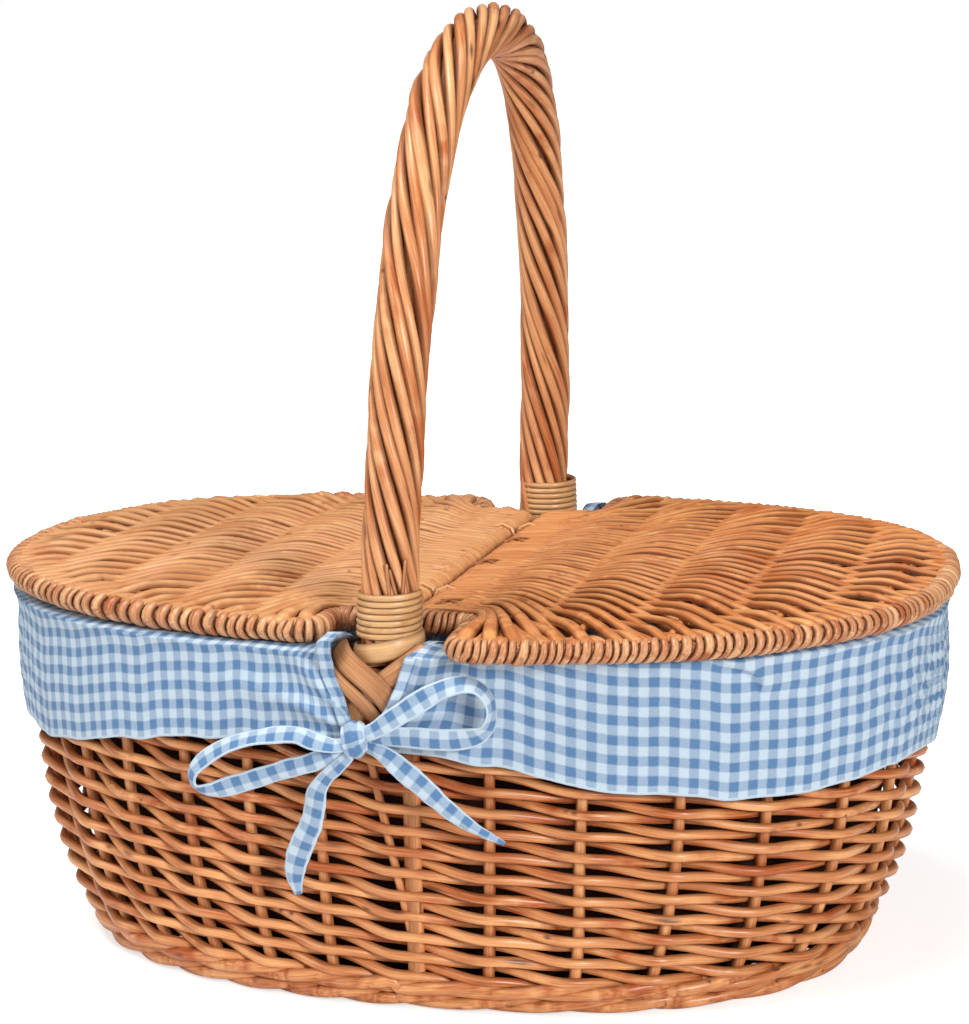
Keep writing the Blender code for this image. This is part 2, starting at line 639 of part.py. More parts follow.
def make_lid_panel(hand, name):
    """Woven face of a lid, slightly domed, with notches where the hinge loops pass."""
    outline = lid_line(hand, LID_RIM_RADIUS + CLEARANCE)
    tip = max(abs(p.x) for p in outline)
    top = HINGE_Z + LID_RIM_RADIUS - LID_PANEL_DROP
    verts, faces = [], []
    sheets = []
    for count, level, woven in ((LID_PANEL_LINES, top, True), (LID_PANEL_LINES_BELOW, top - LID_PANEL_THICKNESS, False)):
        rows = []
        for x, half in lid_lines(hand, outline):
            row = []
            for line in range(count + 1):
                y = half * (2 * line / count - 1)
                relief = weave_relief(x, line) if woven and 0 < line < count else 0.0
                row.append(len(verts))
                verts.append((hand * x, y, level + dome(hand, x, y) + relief))
            rows.append(row)
        rows.append([len(verts)] * (count + 1))
        verts.append((hand * tip, 0.0, level + dome(hand, tip, 0.0)))
        for row, after in zip(rows, rows[1:]):
            for line in range(count):
                ring = (row[line], row[line + 1], after[line + 1], after[line])
                faces.append(tuple(dict.fromkeys(ring)))
        sheets.append(rows)
    upper, lower = sheets
    for side in (0, -1):
        rails = [[row[side] for row in rows] for rows in (upper, lower)]
        faces += [(rails[0][i], rails[0][i + 1], rails[1][i + 1], rails[1][i]) for i in range(len(rails[0]) - 1)]
    faces.append(tuple(upper[0] + lower[0][::-1]))
    panel = add_mesh(f"lid_{name}_panel", verts, faces, WILLOW)
    notches = []
    deep = LID_RIM_RADIUS + 2 * (HINGE_LOOP_SLACK + HINGE_LOOP_RADIUS) + CLEARANCE
    for side, place in ((FRONT, "front"), (BACK, "back")):
        y = hinge_loop_place(hand, side)
        x = sorted((hand * HINGE_X, hand * (HINGE_X + deep)))
        low = (x[0], y - HINGE_NOTCH_WIDTH / 2, HINGE_Z - LID_RIM_RADIUS)
        high = (x[1], y + HINGE_NOTCH_WIDTH / 2, HINGE_Z + 2 * LID_RIM_RADIUS)
        notches.append(add_box(f"notch_{name}_{place}", low, high))
    cut(panel, notches)


def make_lid_ribs(hand, name):
    """Ribs across a lid under its weave, from rim to rim."""
    outline = lid_line(hand, LID_RIM_RADIUS + CLEARANCE)
    under = HINGE_Z + LID_RIM_RADIUS - LID_PANEL_DROP - LID_PANEL_THICKNESS - CLEARANCE - RIB_RADIUS
    for k, place in enumerate(rib_places()):
        x = hand * place
        spans = [crossing(outline, x + shift) for shift in (-RIB_RADIUS, 0.0, RIB_RADIUS)]
        low, high = max(span[0] for span in spans), min(span[1] for span in spans)
        points = []
        for share in BAND_SHARES:
            y = low + (high - low) * share
            points.append((x, y, under + dome(hand, x, y) - CLEARANCE))
        add_tube(f"lid_{name}_rib_{k + 1}", points, RIB_RADIUS, WILLOW)


def fold(distance):
    """Outward swing of the hem's folds at a distance along the border."""
    wave = math.sin(2 * math.pi * distance / VALANCE_FOLD_LENGTH)
    slow = math.sin(2 * math.pi * distance / (VALANCE_FOLD_LENGTH * 2.7) + 1)
    return VALANCE_FOLD * (0.5 + 0.3 * wave + 0.2 * slow)


def make_valance(hand, name):
    """Half of the fold-over: from inside the border over its top and down outside to a loose hem."""
    length = border_length()
    ends = VALANCE_SPLIT / length
    shares = np.linspace(ends, 0.5 - ends, VALANCE_COLUMNS)
    shares = shares if hand == RIGHT else 1 - shares
    t = CLOTH_THICKNESS
    inner = BORDER_WIDTH - BORDER_OUTSTAND + CLEARANCE
    outer = -BORDER_OUTSTAND - CLEARANCE
    low_inside = BORDER_FOOT + BORDER_HEIGHT / 2 - VALANCE_INNER_TURN / 2
    corner = BORDER_HEIGHT / 2
    loops = []
    for share, angle in zip(shares, even_angles(shares)):
        swing = fold(share * length)
        along = length * min(share % 0.5, 0.5 - share % 0.5)
        hem = CLOTH_TOP - VALANCE_DROP + VALANCE_PULL * max(0.0, 1 - along / VALANCE_PULL_REACH)
        stand = outer - VALANCE_STAND_OFF
        low_stand = stand - VALANCE_FLARE - swing
        mid_stand = (stand + low_stand) / 2
        mid = (CLOTH_TOP + hem) / 2
        outside = [(inner + t, low_inside), (inner + t, CLOTH_TOP - corner), (inner - corner / 2, CLOTH_TOP),
                   (stand + corner / 2, CLOTH_TOP), (stand - t, CLOTH_TOP - corner), (mid_stand - t, mid),
                   (low_stand - t, hem)]
        inside = [(low_stand, hem), (mid_stand, mid), (stand, CLOTH_TOP - corner),
                  (stand + corner / 2, CLOTH_TOP - t), (inner - corner / 2, CLOTH_TOP - t),
                  (inner, CLOTH_TOP - corner), (inner, low_inside)]
        loops.append([wall_point(angle, min(z, WALL_HEIGHT), depth).to_2d().to_3d() + Vector((0, 0, z))
                      for depth, z in outside + inside])
    verts, faces = skin_loops(loops, False)
    add_mesh(f"valance_{name}", verts, faces, GINGHAM)


def make_liner():
    """Cloth bag that lines the weave, open at the top, sewn to the fold-over."""
    angles = even_angles(np.arange(STAKE_COUNT + 8) / (STAKE_COUNT + 8))
    low = BOTTOM_LIFT + BOTTOM_THICKNESS + LINER_FLOOR_GAP
    high = BORDER_FOOT + BORDER_HEIGHT / 2 - VALANCE_INNER_TURN / 2 - CLEARANCE
    depth = max(STAKE_DEPTH + STAKE_WIDTH, WEAVE_DEPTH_BETWEEN) + LINER_STAND_OFF
    t = CLOTH_THICKNESS
    rounding = 4 * LINER_STAND_OFF
    inner = BORDER_WIDTH - BORDER_OUTSTAND + CLEARANCE
    outside = [(depth + rounding, low), (depth, low + rounding), (depth, (low + high) / 2), (inner, high)]
    inside = [(inner + t, high), (depth + t, (low + high) / 2), (depth + t, low + t + rounding),
              (depth + t + rounding, low + t)]
    loops = []
    for d, z in outside + inside:
        loops.append([wall_point(a, z, d) for a in angles])
    verts, faces = skin_loops(loops, False)
    add_mesh("liner", verts, faces, GINGHAM)


def ribbon(name, centres, widths, thicknesses, closed):
    """Flat band along centres, with a half width vector and a half thickness vector at each."""
    loops = []
    for c, w, t in zip(centres, widths, thicknesses):
        loops.append([c - w - t, c + w - t, c + w + t, c - w + t])
    verts, faces = skin_loops(loops, closed)
    add_mesh(name, verts, faces, GINGHAM)


def make_bow(side, place):
    """Ribbon bow that closes the fold-over below the handle: a knot, two loops and two tails."""
    def put(x, y, z):
        return Vector((-side * x, side * y, z))

    half_knot = KNOT_SIZE / 2
    straps = wall_half_axes(KNOT_HEIGHT + half_knot)[1] + strap_lift(1) + STRAP_THICKNESS
    y = straps + CLEARANCE + half_knot
    loops = []
    for share, size in KNOT_SECTIONS:
        loops.append([put(KNOT_OFFSET + half_knot * size * u, y + half_knot * share,
                          KNOT_HEIGHT + half_knot * size * v) for u, v in KNOT_OUTLINE])
    verts, faces = skin_loops(loops, False)
    add_mesh(f"bow_{place}_knot", verts, faces, GINGHAM)
    half_width, half_thickness = RIBBON_WIDTH / 2, RIBBON_THICKNESS / 2
    for name, way, reach, rise in (("left", LEFT, LEFT_LOOP_REACH, -LEFT_LOOP_FALL),
                                   ("right", RIGHT, RIGHT_LOOP_REACH, RIGHT_LOOP_RISE)):
        near = KNOT_OFFSET + way * (half_knot + CLEARANCE + half_thickness)
        centres, widths, thicknesses = [], [], []
        for k in range(12):
            angle = 2 * math.pi * k / 12
            along = (1 - math.cos(angle)) / 2
            swell = math.sin(angle) * LOOP_OPENING / 2
            x = near + way * reach * along
            z = KNOT_HEIGHT + rise * along + swell
            heading = Vector((way * reach * math.sin(angle) / 2, 0,
                              rise * math.sin(angle) / 2 + math.cos(angle) * LOOP_OPENING / 2)).normalized()
            centres.append(put(x, y, z))
            widths.append(put(0, half_width, 0))
            thicknesses.append(put(-heading.z * half_thickness, 0, heading.x * half_thickness))
        ribbon(f"bow_{place}_{name}_loop", centres, widths, thicknesses, True)
    for name, way, reach, drop in (("left", LEFT, LEFT_TAIL_REACH, LEFT_TAIL_DROP),
                                   ("right", RIGHT, RIGHT_TAIL_REACH, RIGHT_TAIL_DROP)):
        start = Vector((KNOT_OFFSET + way * half_knot / 2, KNOT_HEIGHT - half_knot - CLEARANCE))
        heading = Vector((way * reach, -drop)).normalized()
        centres, widths, thicknesses = [], [], []
        for share in BAND_SHARES:
            sag = half_width * math.sin(math.pi * share)
            centres.append(put(start.x + way * (reach * share - sag), y + half_thickness,
                               start.y - drop * share))
            widths.append(put(-heading.y * half_width, 0, heading.x * half_width))
            thicknesses.append(put(0, half_thickness, 0))
        widths[0] = put(half_width / 2, 0, 0)
        ribbon(f"bow_{place}_{name}_tail", centres, widths, thicknesses, False)


for old in list(bpy.data.objects):
    bpy.data.objects.remove(old, do_unlink=True)

WILLOW = new_material("buff_willow", (0.52, 0.26, 0.11), 0.45)
CANE = new_material("pale_cane", (0.66, 0.42, 0.17), 0.35)
GINGHAM = new_material("blue_gingham", (0.45, 0.60, 0.82), 0.85)

make_bottom()
make_foot_wale()
make_side_weave()
make_stakes_and_border()
make_handle_core()
make_handle_strands()
make_foot_bindings()
make_foot_straps()
make_crossbar()
make_hinge_loops()
for lid_hand, lid_name in ((LEFT, "left"), (RIGHT, "right")):
    make_lid_hoop(lid_hand, lid_name)
    make_lid_panel(lid_hand, lid_name)
    make_lid_ribs(lid_hand, lid_name)
    make_valance(lid_hand, lid_name)
make_liner()
make_bow(FRONT, "front")
make_bow(BACK, "back")
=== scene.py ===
"""Oval willow picnic basket with two hinged half lids, a roped handle, a gingham liner and ribbon bows.

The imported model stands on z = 0 with its long axis along x and the handle over x = 0. The sections below make the
foot, the side with its border, the bottom, the handle, the lids, the ties of cane, the cloth and the bows.
"""
import math

import bpy
import numpy as np
from mathutils import Matrix, Vector


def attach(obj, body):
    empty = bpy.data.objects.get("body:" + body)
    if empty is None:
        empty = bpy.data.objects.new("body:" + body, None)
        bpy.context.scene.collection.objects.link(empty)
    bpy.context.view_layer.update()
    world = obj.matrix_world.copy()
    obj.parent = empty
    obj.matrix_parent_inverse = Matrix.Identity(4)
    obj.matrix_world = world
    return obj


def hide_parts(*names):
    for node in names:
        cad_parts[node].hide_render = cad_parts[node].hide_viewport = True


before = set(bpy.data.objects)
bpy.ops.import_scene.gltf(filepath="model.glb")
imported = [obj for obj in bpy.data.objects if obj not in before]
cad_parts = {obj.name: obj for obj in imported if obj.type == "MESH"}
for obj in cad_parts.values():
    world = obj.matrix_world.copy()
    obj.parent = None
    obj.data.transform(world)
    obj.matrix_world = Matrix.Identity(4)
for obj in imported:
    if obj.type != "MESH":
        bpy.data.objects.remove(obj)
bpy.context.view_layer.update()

# Studio: the basket stands on a white sweep. A soft lamp hangs over it, a stronger one stands to the front
# right, and a weak one to the left. The camera looks from the front right, a little from above.
CAMERA_DISTANCE, CAMERA_AZIMUTH, CAMERA_ELEVATION = 1.30, math.radians(15.025), math.radians(11.91)
CAMERA_LENS, CAMERA_SENSOR, CAMERA_ROLL = 102.13, 36, math.radians(-0.516)
LOOKED_AT, LOOKED_AT_PIXEL, PICTURE = np.array([0.0, 0.0, 0.156]), (477.2, 577.7), (969, 1024)
LAMPS = {"lamp_above": ((-0.40, -0.47, 2.08), 1.06, 33.0), "lamp_right": ((1.85, -2.10, 1.15), 0.66, 49.0),
         "lamp_left": ((-2.1, -1.4, 1.06), 0.84, 12.0)}
LAMPS_AIM = (0, 0, 0.15)
WHITE = (1.0, 1.0, 1.0, 1.0)
FLOOR_REACH = 9


class Nodes:
    """An emptied node tree with short ways to add a node, to set its values and to link its inputs."""

    def __init__(self, tree):
        self.tree = tree
        tree.nodes.clear()

    def add(self, kind, inputs=(), **settings):
        """New node. Its inputs go by name or index, and each is a value or a socket."""
        node = self.tree.nodes.new(kind)
        for key, value in settings.items():
            setattr(node, key, value)
        for key, value in dict(inputs).items():
            if isinstance(value, bpy.types.NodeSocket):
                self.tree.links.new(value, node.inputs[key])
            else:
                node.inputs[key].default_value = value
        return node

    def work(self, how, first, second, clamp=False):
        """Result of a Math node."""
        return self.add("ShaderNodeMath", {0: first, 1: second}, operation=how, use_clamp=clamp).outputs[0]

    def span(self, value, *ends):
        """Result of a Map Range node. Its ends are from low, from high, to low and to high."""
        return self.add("ShaderNodeMapRange", {0: value, **dict(enumerate(ends, 1))}).outputs[0]

    def mix(self, share, first, second):
        """Colour between two colours."""
        return self.add("ShaderNodeMix", {0: share, 6: first, 7: second}, data_type="RGBA").outputs[2]

    def noise(self, place, scale, detail):
        """Outputs of a Noise Texture node, the value first."""
        return self.add("ShaderNodeTexNoise", {"Vector": place, "Scale": scale, "Detail": detail}).outputs

    def finish(self, **inputs):
        """Principled shader and the material's output. Inputs' names have underscores for their spaces."""
        inputs = {key.replace("_", " "): value for key, value in inputs.items()}
        self.add("ShaderNodeOutputMaterial", {0: self.add("ShaderNodeBsdfPrincipled", inputs).outputs[0]})


def new_object(name, data):
    """Object of the data, in the scene."""
    thing = bpy.data.objects.new(name, data)
    bpy.context.collection.objects.link(thing)
    return thing


def new_material(name):
    """Material and its nodes."""
    material = bpy.data.materials.new(name)
    material.use_nodes = True
    return material, Nodes(material.node_tree)


def studio():
    """Camera, lamps, world and floor. The view's own axes come from the azimuth, the elevation and the pixel."""
    level = math.cos(CAMERA_ELEVATION)
    back = np.array([math.sin(CAMERA_AZIMUTH) * level, -math.cos(CAMERA_AZIMUTH) * level, math.sin(CAMERA_ELEVATION)])
    right = np.array([math.cos(CAMERA_AZIMUTH), math.sin(CAMERA_AZIMUTH), 0.0])
    axes = Matrix(np.stack([right, np.cross(back, right), back], 1).tolist()).to_4x4()
    focal = CAMERA_LENS / CAMERA_SENSOR * PICTURE[1]
    across, upward = LOOKED_AT_PIXEL[0] - PICTURE[0] / 2, PICTURE[1] / 2 - LOOKED_AT_PIXEL[1]
    turn = Matrix.Rotation(math.atan2(across, focal), 4, "Y")
    tilt = Matrix.Rotation(-math.asin(upward / math.hypot(focal, across, upward)), 4, "X")
    camera = new_object("camera", bpy.data.cameras.new("camera"))
    camera.data.lens = CAMERA_LENS
    camera.data.sensor_width = CAMERA_SENSOR
    camera.data.clip_start = 0.05
    place = Matrix.Translation((LOOKED_AT + back * CAMERA_DISTANCE).tolist())
    camera.matrix_world = place @ axes @ turn @ tilt @ Matrix.Rotation(CAMERA_ROLL, 4, "Z")
    bpy.context.scene.camera = camera

    for name, (spot, size, power) in LAMPS.items():
        lamp = bpy.data.lights.new(name, "AREA")
        lamp.shape = "SQUARE"
        lamp.size = size
        lamp.energy = power
        stand = new_object(name, lamp)
        stand.location = spot
        stand.rotation_euler = (Vector(spot) - Vector(LAMPS_AIM)).to_track_quat("Z", "Y").to_euler()

    world = bpy.data.worlds.new("studio")
    bpy.context.scene.world = world
    world.use_nodes = True
    nodes = Nodes(world.node_tree)
    seen = nodes.add("ShaderNodeLightPath").outputs["Is Camera Ray"]
    soft = nodes.add("ShaderNodeBackground", {"Color": (1.0, 0.95, 0.90, 1.0), "Strength": 0.18})
    white = nodes.add("ShaderNodeBackground", {"Color": WHITE, "Strength": 1.0})
    mixed = nodes.add("ShaderNodeMixShader", {0: seen, 1: soft.outputs[0], 2: white.outputs[0]})
    nodes.add("ShaderNodeOutputWorld", {"Surface": mixed.outputs[0]})

    material, nodes = new_material("white_sweep")
    seen = nodes.add("ShaderNodeLightPath").outputs["Is Camera Ray"]
    matt = nodes.add("ShaderNodeBsdfDiffuse", {"Color": (0.86, 0.86, 0.86, 1.0)})
    place = nodes.add("ShaderNodeTexCoord").outputs["Object"]
    away = nodes.add("ShaderNodeVectorMath", {0: place}, operation="LENGTH").outputs["Value"]
    lift = nodes.add("ShaderNodeEmission", {"Color": WHITE, "Strength": nodes.span(away, 0.35, 1.3, 0.62, 1.0)})
    none = nodes.add("ShaderNodeEmission", {"Strength": 0.0})
    shown = nodes.add("ShaderNodeMixShader", {0: seen, 1: none.outputs[0], 2: lift.outputs[0]})
    both = nodes.add("ShaderNodeAddShader", {0: matt.outputs[0], 1: shown.outputs[0]})
    nodes.add("ShaderNodeOutputMaterial", {"Surface": both.outputs[0]})
    corners = [(x * FLOOR_REACH, y * FLOOR_REACH, 0) for x, y in ((-1, -1), (1, -1), (1, 1), (-1, 1))]
    mesh = bpy.data.meshes.new("floor")
    mesh.from_pydata(corners, [], [(0, 1, 2, 3)])
    mesh.materials.append(material)
    new_object("floor", mesh)
    bpy.context.scene.view_settings.view_transform = "Standard"


studio()

# Foot: a wale of thick rods, twisted together by threes with a turn over three stakes, runs twice round the
# foot. The rods are buff willow, boiled and stripped, with a thin clear varnish.
OVAL_POWER = 0.86
TOP_AXES, FOOT_AXES = np.array([0.2035, 0.1435]), np.array([0.1785, 0.1345])
WALL_FOOT, WALL_TOP, SIDE_SWELL = 0.0093, 0.1465, 3.2
STAKES, STAKE_LINE, STAKE_RADIUS = 28, 0.0072, 0.0026
CLOSE_STAKES, CLOSE_REACH = 5, 0.163
WALE_LEVELS, WALE_DEPTHS, WALE_TWIST, WALE_RADIUS = (0.0049, 0.0112), (0.0092, 0.0062), (0.0036, 0.0019), 0.0028
GROUND_GAP, NEIGHBOUR_ANGLE, FACING_LEVEL = 0.0029, 0.0175, 0.08
seed = np.random.default_rng(7)


def unit(rows):
    """Rows of coordinates, each divided by its length."""
    return rows / np.maximum(np.linalg.norm(rows, axis=-1, keepdims=True), 1e-12)


def travelled(points):
    """Way along a line of points, from nothing at the first."""
    return np.concatenate([[0], np.cumsum(np.linalg.norm(np.diff(points, axis=0), axis=1))])


def oval(axes, angle):
    """Point of a full oval: axes times the signed power of sine and minus cosine, from the front to the right."""
    along, across = np.sin(angle), -np.cos(angle)
    return np.stack([axes[..., 0] * np.sign(along) * np.abs(along) ** OVAL_POWER,
                     axes[..., 1] * np.sign(across) * np.abs(across) ** OVAL_POWER], -1)


FINE_ANGLES = np.linspace(0, 2 * math.pi, 2881)
BORDER_TRAVEL = travelled(oval(TOP_AXES, FINE_ANGLES))
BORDER_LENGTH = BORDER_TRAVEL[-1]


def on_wall(travel, z, depth):
    """Point of the side: share of the way round the border, height, and depth inwards from its outside."""
    travel, z, depth = np.broadcast_arrays(travel, z, depth)
    angle = np.interp(travel % 1 * BORDER_LENGTH, BORDER_TRAVEL, FINE_ANGLES)
    grow = 1 - (1 - np.clip((z - WALL_FOOT) / (WALL_TOP - WALL_FOOT), 0, 1)) ** SIDE_SWELL
    axes = FOOT_AXES + (TOP_AXES - FOOT_AXES) * grow[..., None]
    ahead = unit(oval(axes, angle + NEIGHBOUR_ANGLE) - oval(axes, angle - NEIGHBOUR_ANGLE))
    inward = np.stack([-ahead[..., 1], ahead[..., 0]], -1)
    return np.concatenate([oval(axes, angle) + inward * depth[..., None], z[..., None]], -1)


def wall_facing(travel):
    """Outward direction of the side at shares of the way round."""
    return unit(on_wall(travel, FACING_LEVEL, 0.0) - on_wall(travel, FACING_LEVEL, 0.001))


def stake_share(stake):
    """Share of the way round of stake numbers, whole or not. The last ones, left of the near foot, stand closer."""
    known = [0, STAKES // 2, STAKES - CLOSE_STAKES, STAKES]
    return stake // STAKES + np.interp(stake % STAKES, known, [0, 0.5, 1 - CLOSE_REACH / BORDER_LENGTH, 1])


def add_surface(name, verts, loops, sizes, uv, tone, flank, material, body):
    """Object from whole arrays: vertices, face corners, corners per face, a map in metres, a tone and a flank."""
    mesh = bpy.data.meshes.new(name)
    mesh.vertices.add(len(verts))
    mesh.vertices.foreach_set("co", verts.astype(np.float32).ravel())
    mesh.loops.add(len(loops))
    mesh.loops.foreach_set("vertex_index", loops.astype(np.int32))
    mesh.polygons.add(len(sizes))
    mesh.polygons.foreach_set("loop_start", np.concatenate([[0], np.cumsum(sizes)[:-1]]).astype(np.int32))
    mesh.polygons.foreach_set("loop_total", sizes.astype(np.int32))
    mesh.polygons.foreach_set("use_smooth", np.ones(len(sizes), bool))
    mesh.update(calc_edges=True)
    mesh.uv_layers.new(name="lay").data.foreach_set("uv", uv.astype(np.float32).ravel())
    for label, values in (("tone", tone), ("flank", flank)):
        mesh.attributes.new(label, "FLOAT", "POINT").data.foreach_set("value", values.astype(np.float32).ravel())
    mesh.materials.append(material)
    piece = new_object(name, mesh)
    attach(piece, body)
    return piece


def add_rods(name, paths, radii, material, body, facing=(0, 0, 1), flat=1.0, sides=8, tone=None, closed=False):
    """Rods along many paths at once: point = path + radius * (cos u * side + flat * sin u * facing).

    The paths are an array of rods by points by 3. Open rods get a rounded end: a smaller ring and a face.
    """
    paths = np.asarray(paths, float)
    rods = len(paths)
    radii = np.broadcast_to(radii, paths.shape[:2]).astype(float)
    facing = np.broadcast_to(facing, paths.shape)
    tone = np.broadcast_to(seed.random((rods, 1)) if tone is None else tone, paths.shape[:2])
    if not closed:
        first = unit(paths[:, 0] - paths[:, 1]) * radii[:, :1] * 0.5
        last = unit(paths[:, -1] - paths[:, -2]) * radii[:, -1:] * 0.5
        radii, facing, tone, paths = (np.concatenate([values[:, :1], values, values[:, -1:]], 1)
                                      for values in (radii, facing, tone, paths))
        paths[:, 0] += first
        paths[:, -1] += last
        radii[:, [0, -1]] *= 0.6
    points = paths.shape[1]
    along = unit(np.roll(paths, -1, 1) - np.roll(paths, 1, 1) if closed else np.gradient(paths, axis=1))
    up = unit(facing - (facing * along).sum(2, keepdims=True) * along)
    side = np.cross(along, up)
    turn = np.arange(sides) / sides * 2 * math.pi
    ring = np.cos(turn)[:, None] * side[:, :, None] + flat * np.sin(turn)[:, None] * up[:, :, None]
    verts = (paths[:, :, None] + ring * radii[:, :, None, None]).reshape(-1, 3)
    spans = points if closed else points - 1
    rod, span, slice_ = np.meshgrid(np.arange(rods), np.arange(spans), np.arange(sides), indexing="ij")
    ahead, round_ = (span + 1) % points, (slice_ + 1) % sides

    def corner(where, which):
        return (rod * points + where) * sides + which
    quads = np.stack([corner(span, slice_), corner(ahead, slice_), corner(ahead, round_), corner(span, round_)], -1)
    steps = np.linalg.norm(np.diff(paths, axis=1), axis=2)
    travel = np.concatenate([np.zeros((rods, 1)), np.cumsum(steps, 1)], 1)
    if closed:
        travel = np.concatenate([travel, travel[:, -1:] + np.linalg.norm(paths[:, :1] - paths[:, -1:], axis=2)], 1)
    girth = 2 * math.pi * radii.mean() / sides
    u = np.stack([travel[rod, span], travel[rod, span + 1], travel[rod, span + 1], travel[rod, span]], -1)
    v = np.stack([slice_, slice_, slice_ + 1, slice_ + 1], -1) * girth
    loops, sizes = quads.reshape(-1), np.full(quads.size // 4, 4)
    uv = np.stack([u, v], -1).reshape(-1, 2)
    if not closed:
        base = np.arange(rods)[:, None] * points * sides
        start = base + np.arange(sides)[None]
        end = base + (points - 1) * sides + np.arange(sides)[::-1][None]
        caps = np.concatenate([start, end]).reshape(-1)
        at = np.concatenate([np.zeros(rods), travel[:, -1]])
        cap_uv = np.stack([np.repeat(at, sides), np.tile(np.arange(sides) * girth, 2 * rods)], -1)
        loops, uv = np.concatenate([loops, caps]), np.concatenate([uv, cap_uv])
        sizes = np.concatenate([sizes, np.full(2 * rods, sides)])
    flank = np.broadcast_to(np.abs(np.cos(turn)), (rods, points, sides))
    return add_surface(name, verts, loops, sizes, uv, np.repeat(tone, sides), flank, material, body)


def smooth_noise(shape, knots, spread):
    """Random curves: each row runs smoothly through as many random values as there are knots."""
    values = seed.normal(0, spread, (shape[0], knots))
    at = np.linspace(0, knots - 1, shape[1])
    low = np.minimum(at.astype(int), knots - 2)
    mix = (1 - np.cos((at - low) * math.pi)) / 2
    return values[:, low] * (1 - mix) + values[:, low + 1] * mix


def build_rod_grain():
    """Node group for stripped willow: streaks along the rod, mottling, bud scars and a tone for each rod. The flanks,
    where one rod meets the next, get painted shade: a darker colour, with more roughness and less coat.
    """
    group = bpy.data.node_groups.new("rod_grain", "ShaderNodeTree")
    for way, names in (("INPUT", {"Color": ("Light", "Dark"), "Float": ("Streaks", "Scars", "Groove shade", "Roughness")}),
                       ("OUTPUT", {"Color": ("Colour",), "Float": ("Roughness", "Height", "Gloss")})):
        for kind, sockets in names.items():
            for name in sockets:
                group.interface.new_socket(name, in_out=way, socket_type=f"NodeSocket{kind}")
    nodes = Nodes(group)
    given = nodes.add("NodeGroupInput").outputs
    lay = nodes.add("ShaderNodeUVMap", uv_map="lay").outputs[0]
    along, across, _ = nodes.add("ShaderNodeSeparateXYZ", {0: lay}).outputs
    tone, flank = (nodes.add("ShaderNodeAttribute", attribute_name=name).outputs["Fac"] for name in ("tone", "flank"))
    apart = nodes.work("MULTIPLY", tone, 7.3)

    def stretched(lengthwise, crosswise):
        """Place on the rod, times a number of spots per metre each way, and shifted from rod to rod."""
        return nodes.add("ShaderNodeCombineXYZ", {0: nodes.work("MULTIPLY", along, lengthwise),
                                                  1: nodes.work("MULTIPLY", across, crosswise), 2: apart}).outputs[0]

    streak = nodes.noise(stretched(45, 1500), 1.0, 3.0)[0]
    mottle = nodes.noise(stretched(32, 130), 1.0, 3.0)[0]
    patch = nodes.noise(stretched(9, 20), 1.0, 1.0)[0]
    scar = nodes.add("ShaderNodeTexVoronoi", {"Vector": stretched(22, 120), "Scale": 1.0, "Randomness": 1.0})
    streaks = nodes.work("MULTIPLY", nodes.span(streak, 0.35, 0.68, 0.0, 1.0), given["Streaks"])
    fine = nodes.work("ADD", streaks, nodes.span(mottle, 0.3, 0.7, -0.1, 0.45))
    broad = nodes.work("ADD", nodes.span(patch, 0.3, 0.7, -0.15, 0.3), nodes.span(tone, 0.0, 1.0, -0.12, 0.28))
    wood = nodes.mix(nodes.work("ADD", fine, broad, clamp=True), given["Light"], given["Dark"])
    spot = nodes.span(scar.outputs["Distance"], 0.05, 0.17, 0.8, 0.0)
    marked = nodes.mix(nodes.work("MULTIPLY", spot, given["Scars"], clamp=True), wood, (0.10, 0.03, 0.012, 1))
    # Painted shade: this mask darkens, dulls and roughens the flanks where one rod meets the next.
    groove_shade_mask = nodes.work("MULTIPLY", nodes.span(flank, 0.58, 0.98, 0.0, 1.0), given["Groove shade"])
    rough = nodes.work("ADD", nodes.span(mottle, 0.3, 0.7, -0.06, 0.08), given["Roughness"])
    # The deep red-brown mixed in on the flanks is painted shade in the crevices between rods.
    nodes.add("NodeGroupOutput", {
        "Colour": nodes.mix(groove_shade_mask, marked, (0.085, 0.014, 0.003, 1)),
        "Roughness": nodes.work("ADD", rough, nodes.work("MULTIPLY", groove_shade_mask, 0.4), clamp=True),
        "Height": nodes.work("ADD", nodes.work("ADD", streak, mottle), spot),
        "Gloss": nodes.work("SUBTRACT", 1.0, groove_shade_mask)})
    return group


ROD_GRAIN = build_rod_grain()


def willow(name, light, dark, streaks=0.45, scars=1.0, roughness=0.42, coat=0.25, groove_shade=0.3):
    """Principled material of varnished rods from the grain group and its own colours."""
    # The last argument sets how much painted shade darkens the flanks where one rod meets the next.
    material, nodes = new_material(name)
    grain = nodes.add("ShaderNodeGroup", {"Light": (*light, 1), "Dark": (*dark, 1), "Streaks": streaks, "Scars": scars,
                                          "Roughness": roughness, "Groove shade": groove_shade}, node_tree=ROD_GRAIN).outputs
    bump = nodes.add("ShaderNodeBump", {"Strength": 0.6, "Distance": 0.00025, "Height": grain["Height"]})
    nodes.finish(Base_Color=grain["Colour"], Normal=bump.outputs[0], Roughness=grain["Roughness"],
                 Coat_Weight=nodes.work("MULTIPLY", grain["Gloss"], coat), Specular_IOR_Level=0.3, Coat_Roughness=0.28)
    return material


SIDE_WILLOW = willow("side_willow", (0.97, 0.475, 0.190), (0.48, 0.105, 0.020), streaks=0.5, roughness=0.36, coat=0.5,
                     groove_shade=0.45)


